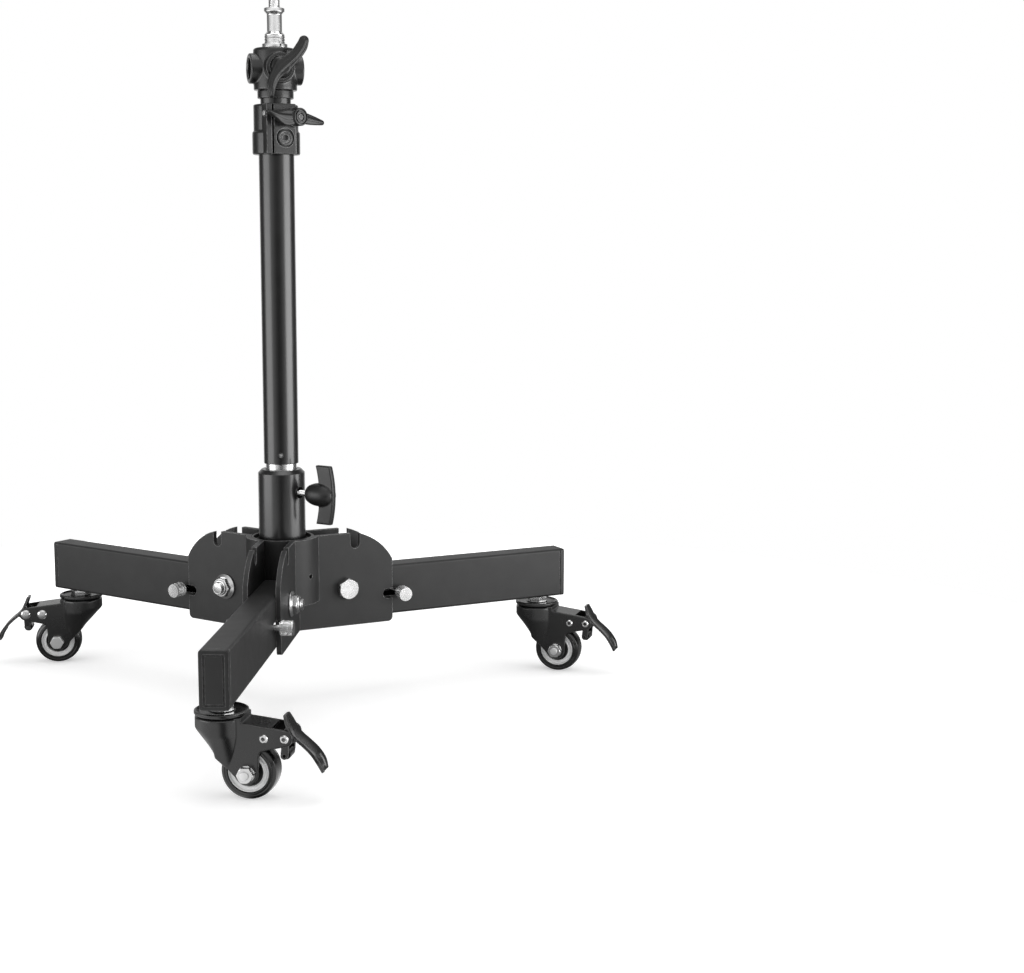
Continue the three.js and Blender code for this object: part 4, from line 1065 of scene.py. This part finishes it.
def column():
    low, high = span("outer_tube")
    tube = ring(column_radius, column_bore, low, high, 0.5, 96)
    to_hole = turn_z(foot_hole_azimuth) @ shift(0, 0, low + foot_hole_height) @ ALONG_X
    hole, blind = (at(rod(radius, 6, 20, 0), to_hole) for radius in (foot_hole_radius, foot_blind_radius))
    put("mast_outer", cut(tube, hole), on_column(0), "column", "tube", "outer_tube")
    low, high = span("base_spigot")
    core = turned([(0, low, 0), (spigot_fit - 1.5, low, 0.3), (spigot_fit, low + 1.5, 0.5),
                   (spigot_fit, high, 0.3), (0, high, 0)], 96)
    put("mast_foot", cut(core, blind), on_column(0), "column", "zinc", "base_spigot")
    tube = ring(inner_radius, inner_bore, *span("inner_tube"), 0.3, 96)
    put("mast_inner", tube, on_column(0), "inner_mast", "tube", "inner_tube")
    collar = ring(collar_radius, inner_radius + clearance, *span("head_collar"), 0.7, 96)
    put("mast_collar", collar, on_column(0), "inner_mast", "cast", "head_collar")


column()

# Wing levers, drawn about their hubs


def wing_arms(shares, reach, heights, ridge_heights, edge):
    """The two arms of a lever, by (x, y, half width) shares of a reach, and the ridge along them."""
    ridge = [(x, y, half * 0.3) for x, y, half in shares]
    return prism([ribbon(shares, reach)], *heights, edge), prism([ribbon(ridge, reach)], *ridge_heights, 0.3)


# Telescope clamp, drawn with its boss along +X

clamp_azimuth = -59.0
clamp_height = 38.9
clamp_radius = 17.6
band_radius = 18.8
band_height = 18.0
boss_face = 20.4
boss_half = 9.2
ear_face = 19.4
ear_side = 14.9
clamp_slot = 1.4
cap_screw_height = 12.6
pinch_reach = 15.4
pinch_height = 31.0
screw_hole = 3.3
lever_boss_radius = 7.5
lever_face = 22.6


def clamp():
    low, _ = span("clamp_body")
    body = rod(clamp_radius, 0, clamp_height, 1.2, 96)
    band = rod(band_radius, 0, band_height, 1.4, 96)
    boss = box((0, boss_face), (-boss_half, boss_half), (0, clamp_height), 0.8)
    ear = box((0, ear_face), (-ear_side, -8), (0, clamp_height), 0.8)
    lever_turn = joint_azimuth("clamp_lever_turn") - clamp_azimuth
    to_lever = turn_z(lever_turn) @ shift(0, 0, joint_place("clamp_lever_turn").z - low) @ ALONG_X
    to_cap_screw = shift(0, 0, cap_screw_height) @ ALONG_X
    to_pinch = shift(pinch_reach, 0, pinch_height) @ BACK_Y
    lever_boss = at(rod(lever_boss_radius, 8, lever_face, 0.6, 64), to_lever)
    skin = moulded(fused(body, band, boss, ear, lever_boss), 0.45, 5)
    tools = [
        rod(column_radius + clearance, -2, 15.3, 0, 96),
        rod(inner_radius + clearance, -1, clamp_height + 2, 0, 96),
        box((6, 30), (-boss_half - clamp_slot, -boss_half), (-2, clamp_height + 2)),
        at(rod(7.4, 18.4, 30, 0, 64), to_cap_screw),
        at(rod(screw_hole, 5, 30, 0), to_cap_screw),
        at(rod(screw_hole, 5, 30, 0), to_lever),
        at(rod(2.3, -1.8, 25, 0), to_pinch),
    ]
    place = on_column(low, clamp_azimuth)
    put("clamp_casting", cut(skin, *tools), place, "column", "cast", "clamp_body", angle=casting_angle)
    bolt = fused(rod(2, -1.5, 15.5, 0.1), rod(2.2, 15.2, 16.4, 0.5))
    put("clamp_pinch_bolt", at(bolt, to_pinch), place, "column", "zinc", "clamp_bolt")
    screw = turned([(0, 14.6, 0), (3, 14.6, 0), (3, 17.8, 0), (6.2, 17.8, 0.3), (6.2, 20.3, 0.7),
                    (4.6, 20.3, 0.2), (4.4, 19.7, 0.2), (3.9, 19.7, 0.2), (3.7, 20.2, 0.2), (0, 20.2, 0)], 64)
    screw = cut(screw, prism([hexagon(4.6)], 17.9, 22))
    put("clamp_cap_screw", at(screw, to_cap_screw), place, "column", "cast", "clamp_screw")


lever_reach = 29.0
lever_hub_radius = 7.0
lever_stud_radius = 3.0
lever_shares = [(-1, 0.1, 0.05), (-0.76, 0.03, 0.1), (-0.42, -0.03, 0.22), (0, 0, 0.17), (0.45, -0.06, 0.13),
                (0.82, -0.11, 0.07)]


def clamp_lever():
    start = lever_face + clearance
    arms = wing_arms(lever_shares, lever_reach, (start + 1.5, start + 6.0), (start + 3, start + 6.5), 1.2)
    skin = moulded(fused(rod(lever_hub_radius, start, start + 8, 0.8, 64), *arms), 0.4, 5)
    dish = lathe([(0, start + 6.8), (3.1, start + 6.8), (3.1, start + 9), (0, start + 9)], 48)
    groove = ring(5.9, 4.7, start + 6.5, start + 9, 0.05, 64)
    grip = cut(skin, dish, groove)
    tip = prism([hexagon(4.2)], start + 6.8, start + 7.7, 0.15)
    place = joint_frame("clamp_lever_turn") @ ALONG_X
    put("clamp_wing", grip, place, "clamp_lever", "plastic", "clamp_lever", angle=casting_angle)
    put("clamp_wing_nut", tip, place, "clamp_lever", "cast", "clamp_lever")
    stud = threaded(lever_stud_radius, 0.35, 1.0, 12.7, start + 1)
    put("clamp_wing_stud", stud, place, "clamp_lever", "zinc", "clamp_lever")


clamp()
clamp_lever()

# Head, drawn with the lever's boss along +X

head_radius = 17.0
head_reach = 21.0
head_bore = 8.1
head_boss_radius = 11.7


def head():
    low, high = span("head_body")
    height = high - low
    middle = joint_place("head_lever_turn").z - low
    quarters = [turn_z(90 * quarter) @ shift(0, 0, middle) @ ALONG_X for quarter in range(4)]
    body = turned([(0, 0, 0), (head_radius, 0, 0.6), (head_radius, height, 2.2), (0, height, 0)], 96)
    boss = rod(head_boss_radius, 4, head_reach, 0.7, 64)
    skin = moulded(fused(body, *(at(boss, quarter) for quarter in quarters)), 0.45, 9)
    mouth = head_bore + 1.2
    bore = turned([(0, 10.6, 0), (head_bore, 10.6, 0), (head_bore, head_reach - 0.9, 0),
                   (mouth, head_reach + 0.4, 0), (mouth, 30, 0), (0, 30, 0)], 64)
    tools = [rod(8.3, 8.1, height + 3, 0, 64), rod(inner_radius + clearance, -2, 5.3, 0, 96)]
    tools += [at(bore, quarter) for quarter in quarters]
    tools.append(at(rod(screw_hole, 2, 30, 0), quarters[0]))
    place = on_column(low, joint_azimuth("head_lever_turn"))
    put("head_casting", cut(skin, *tools), place, "inner_mast", "cast", "head_body", angle=casting_angle)


head_lever_reach = 27.0
head_lever_shares = [(0.63, 0.75, 0.14), (0.55, 0.56, 0.165), (0.34, 0.29, 0.17), (0, 0, 0.22),
                     (-0.2, -0.24, 0.16), (-0.32, -0.52, 0.13), (-0.33, -0.8, 0.08)]


def head_lever():
    start = head_reach + 1.6
    hub_body = standing(start, [(0, 0, 0), (8.2, 0, 0.5), (8.2, 1.6, 0.6), (6.6, 3.4, 0.8), (6.2, 6.6, 1.6),
                                (0, 6.6, 0)], 64)
    heights, ridge_heights = (start + 1.45, start + 6.4), (start + 3, start + 7.2)
    arms = wing_arms(head_lever_shares, head_lever_reach, heights, ridge_heights, 1.5)
    skin = moulded(fused(hub_body, *arms), 0.4, 5)
    place = joint_frame("head_lever_turn") @ ALONG_X
    put("head_wing", skin, place, "head_lever", "plastic", "head_lever")
    stud = threaded(lever_stud_radius, 0.35, 1.0, 8.7, start + 1)
    put("head_wing_stud", stud, place, "head_lever", "zinc", "head_lever")


spigot_radius = 8.0
spigot_waist = 5.9
spigot_tip = 4.3
flange_radius = 10.0
flange_height = 3.0
groove_radius = 7.7
groove_pitch = 2.2
tip_thread_radius = 4.76
tip_thread_depth = 0.85
tip_thread_pitch = 1.5875


def spigot():
    low, high = span("spigot")
    flange = span("head_body")[1] + clearance
    z = flange + flange_height
    corners = [(0, low, 0), (spigot_radius, low, 0.5), (spigot_radius, flange, 0),
               (flange_radius, flange, 0.4), (flange_radius, z, 0.5)]
    for _ in range(3):
        corners += [(spigot_radius, z + 0.3, 0.1), (spigot_radius, z + 1.6, 0.15),
                    (groove_radius, z + 1.85, 0.1), (groove_radius, z + 2.1, 0.1)]
        z += groove_pitch
    corners += [(spigot_radius, z, 0.2), (spigot_radius, z + 0.4, 0.3), (spigot_waist, z + 2.8, 0.8),
                (spigot_waist, z + 15.8, 0.8), (spigot_radius, z + 18, 0.4), (spigot_radius, z + 20.8, 0.5),
                (spigot_tip, z + 20.8, 0), (spigot_tip, high - 0.5, 0), (0, high - 0.5, 0)]
    put("spigot_turned", turned(corners, 96), on_column(0), "spigot", "chrome", "spigot")
    thread = threaded(tip_thread_radius, tip_thread_depth, tip_thread_pitch, z + 20.2, high, 64)
    put("spigot_thread", thread, on_column(0), "spigot", "chrome", "spigot")


head()
head_lever()
spigot()

# Stage, room, lights and camera, in metres

# How bright the room is to a reflected ray, by half of one less the cosine of its turn from the camera's
# side: near the level of the eye, higher up, and on the floor, where it is a painted reflection glow
room_front = 280.0
room_levels = ((0.0, 0.0), (0.008, 0.02), (0.03, 0.25), (0.08, 0.65), (0.15, 0.90), (0.30, 0.85),
               (0.50, 0.45), (0.67, 0.12), (0.90, 0.10), (0.95, 1.0))
high_levels = ((0.0, 1.0), (0.05, 1.0), (0.30, 0.55), (0.60, 0.20), (0.85, 0.10), (0.95, 0.5))
floor_painted_reflection_levels = ((0.0, 0.05), (0.004, 0.15), (0.02, 1.0), (0.50, 1.0), (0.75, 0.40), (0.90, 0.15), (1.0, 0.10))
floor_middle = (0.02, -0.15, 0.0)
floor_radius = 0.85
floor_level = 0.8

# Low and high end, and what is made of them: the floor's lift by reach, and the room's levels by height
floor_fade = (0.3, 0.8, 0.42, 1.0)
room_rise = (0.075, 0.13, 0, 1)

# How bright the world is to what it lights
room_light = 0.6


def seen(tree, path):
    """One for a ray from the camera, straight or through something."""
    return maths(tree, "MAXIMUM", path["Is Camera Ray"], path["Is Transmission Ray"])


def round_room(tree, vector, levels):
    """A level by the turn of a direction, or of a place, from the camera's side round the stand."""
    level = vector_maths(tree, "MULTIPLY", vector, (1, 1, 0))["Vector"]
    flat = vector_maths(tree, "NORMALIZE", level)["Vector"]
    front = math.radians(room_front)
    turn = vector_maths(tree, "DOT_PRODUCT", flat, (math.cos(front), math.sin(front), 0))["Value"]
    ramp = tree.nodes.new("ShaderNodeValToRGB")
    stops = ramp.color_ramp.elements
    while len(stops) < len(levels):
        stops.new(1.0)
    for stop, (place, shade) in zip(stops, levels):
        stop.position = place
        stop.color = grey(shade)
    link(tree, ranged(tree, turn, 1, -1, 0, 1), ramp.inputs["Fac"])
    return ramp.outputs["Color"]


def stage():
    """A round pale floor that fades to the white of the backdrop at its rim; to reflected rays it is black
    and gives off a painted reflection glow round the stand.
    """
    floor = added("floor", prism([arc(0, 0, floor_radius, 0, 357.5, 143)], -0.01, 0))
    pale = bpy.data.materials.new("pale_floor")
    pale.use_nodes = True
    tree = pale.node_tree
    shader = tree.nodes["Principled BSDF"]
    preset(shader, {"Roughness": 0.9, "Specular IOR Level": 0.0, "Emission Color": grey(1.0)})
    place = tree.nodes.new("ShaderNodeTexCoord").outputs["Object"]
    path = tree.nodes.new("ShaderNodeLightPath").outputs
    # To reflected rays the floor is black and glows by its turn round the stand: a painted reflection, bright
    # at the sides and dark in front and behind
    base = mixed(tree, path["Is Glossy Ray"], grey(floor_level), grey(0.0))
    link(tree, base, shader.inputs["Base Color"])
    fade = ranged(tree, vector_maths(tree, "LENGTH", place)["Value"], *floor_fade)
    lift = maths(tree, "MULTIPLY", seen(tree, path), fade)
    around = vector_maths(tree, "SUBTRACT", place, floor_middle)["Vector"]
    glossy = maths(tree, "MULTIPLY", path["Is Glossy Ray"], round_room(tree, around, floor_painted_reflection_levels))
    link(tree, maths(tree, "MAXIMUM", lift, glossy), shader.inputs["Emission Strength"])
    floor.data.materials.append(pale)


def world():
    """White to the camera, a plain level to what it lights, and the room's levels to reflected rays."""
    made = bpy.data.worlds.new("studio")
    scene.world = made
    made.use_nodes = True
    tree = made.node_tree
    background = tree.nodes["Background"]
    background.inputs["Color"].default_value = grey(1.0)
    path = tree.nodes.new("ShaderNodeLightPath").outputs
    way = tree.nodes.new("ShaderNodeTexCoord").outputs["Generated"]
    height = tree.nodes.new("ShaderNodeSeparateXYZ")
    link(tree, way, height.inputs["Vector"])
    rise = ranged(tree, height.outputs["Z"], *room_rise)
    around = mixed(tree, rise, round_room(tree, way, room_levels), round_room(tree, way, high_levels))
    room = tree.nodes.new("ShaderNodeMix")
    room.data_type = "FLOAT"
    link(tree, path["Is Glossy Ray"], room.inputs[0])
    link(tree, ranged(tree, seen(tree, path), 0, 1, room_light, 1.0), room.inputs[2])
    link(tree, around, room.inputs[3])
    link(tree, room.outputs[0], background.inputs["Strength"])


def lamp(name, place, target, width, height, power):
    data = bpy.data.lights.new(name, "AREA")
    data.shape = "RECTANGLE"
    data.size = width
    data.size_y = height
    data.energy = power
    made = added(name, data)
    made.location = place
    made.rotation_euler = (Vector(target) - Vector(place)).to_track_quat("-Z", "Y").to_euler()


def camera():
    data = bpy.data.cameras.new("camera")
    data.sensor_width = camera_sensor
    data.lens = camera_lens
    made = added("camera", data)
    x, y, z = camera_place
    place = Matrix.Translation(Vector((column_x + x, column_y + y, z)) * MM)
    tilt = Matrix.Rotation(math.radians(camera_tilt), 4, "X")
    made.matrix_world = place @ turn_z(camera_turn) @ tilt @ turn_z(camera_roll)
    scene.camera = made


camera()
stage()
world()
lamp("left", (-1.15, -0.55, 0.14), (0, 0.06, 0.14), 1.1, 0.96, 8)
lamp("right", (1.27, -0.20, 0.14), (0, 0.06, 0.14), 1.1, 0.96, 14)
lamp("top", (0.1, 0.2, 2.0), (0, 0.05, 0.2), 1.2, 1.2, 8)
scene.view_settings.view_transform = "Standard"
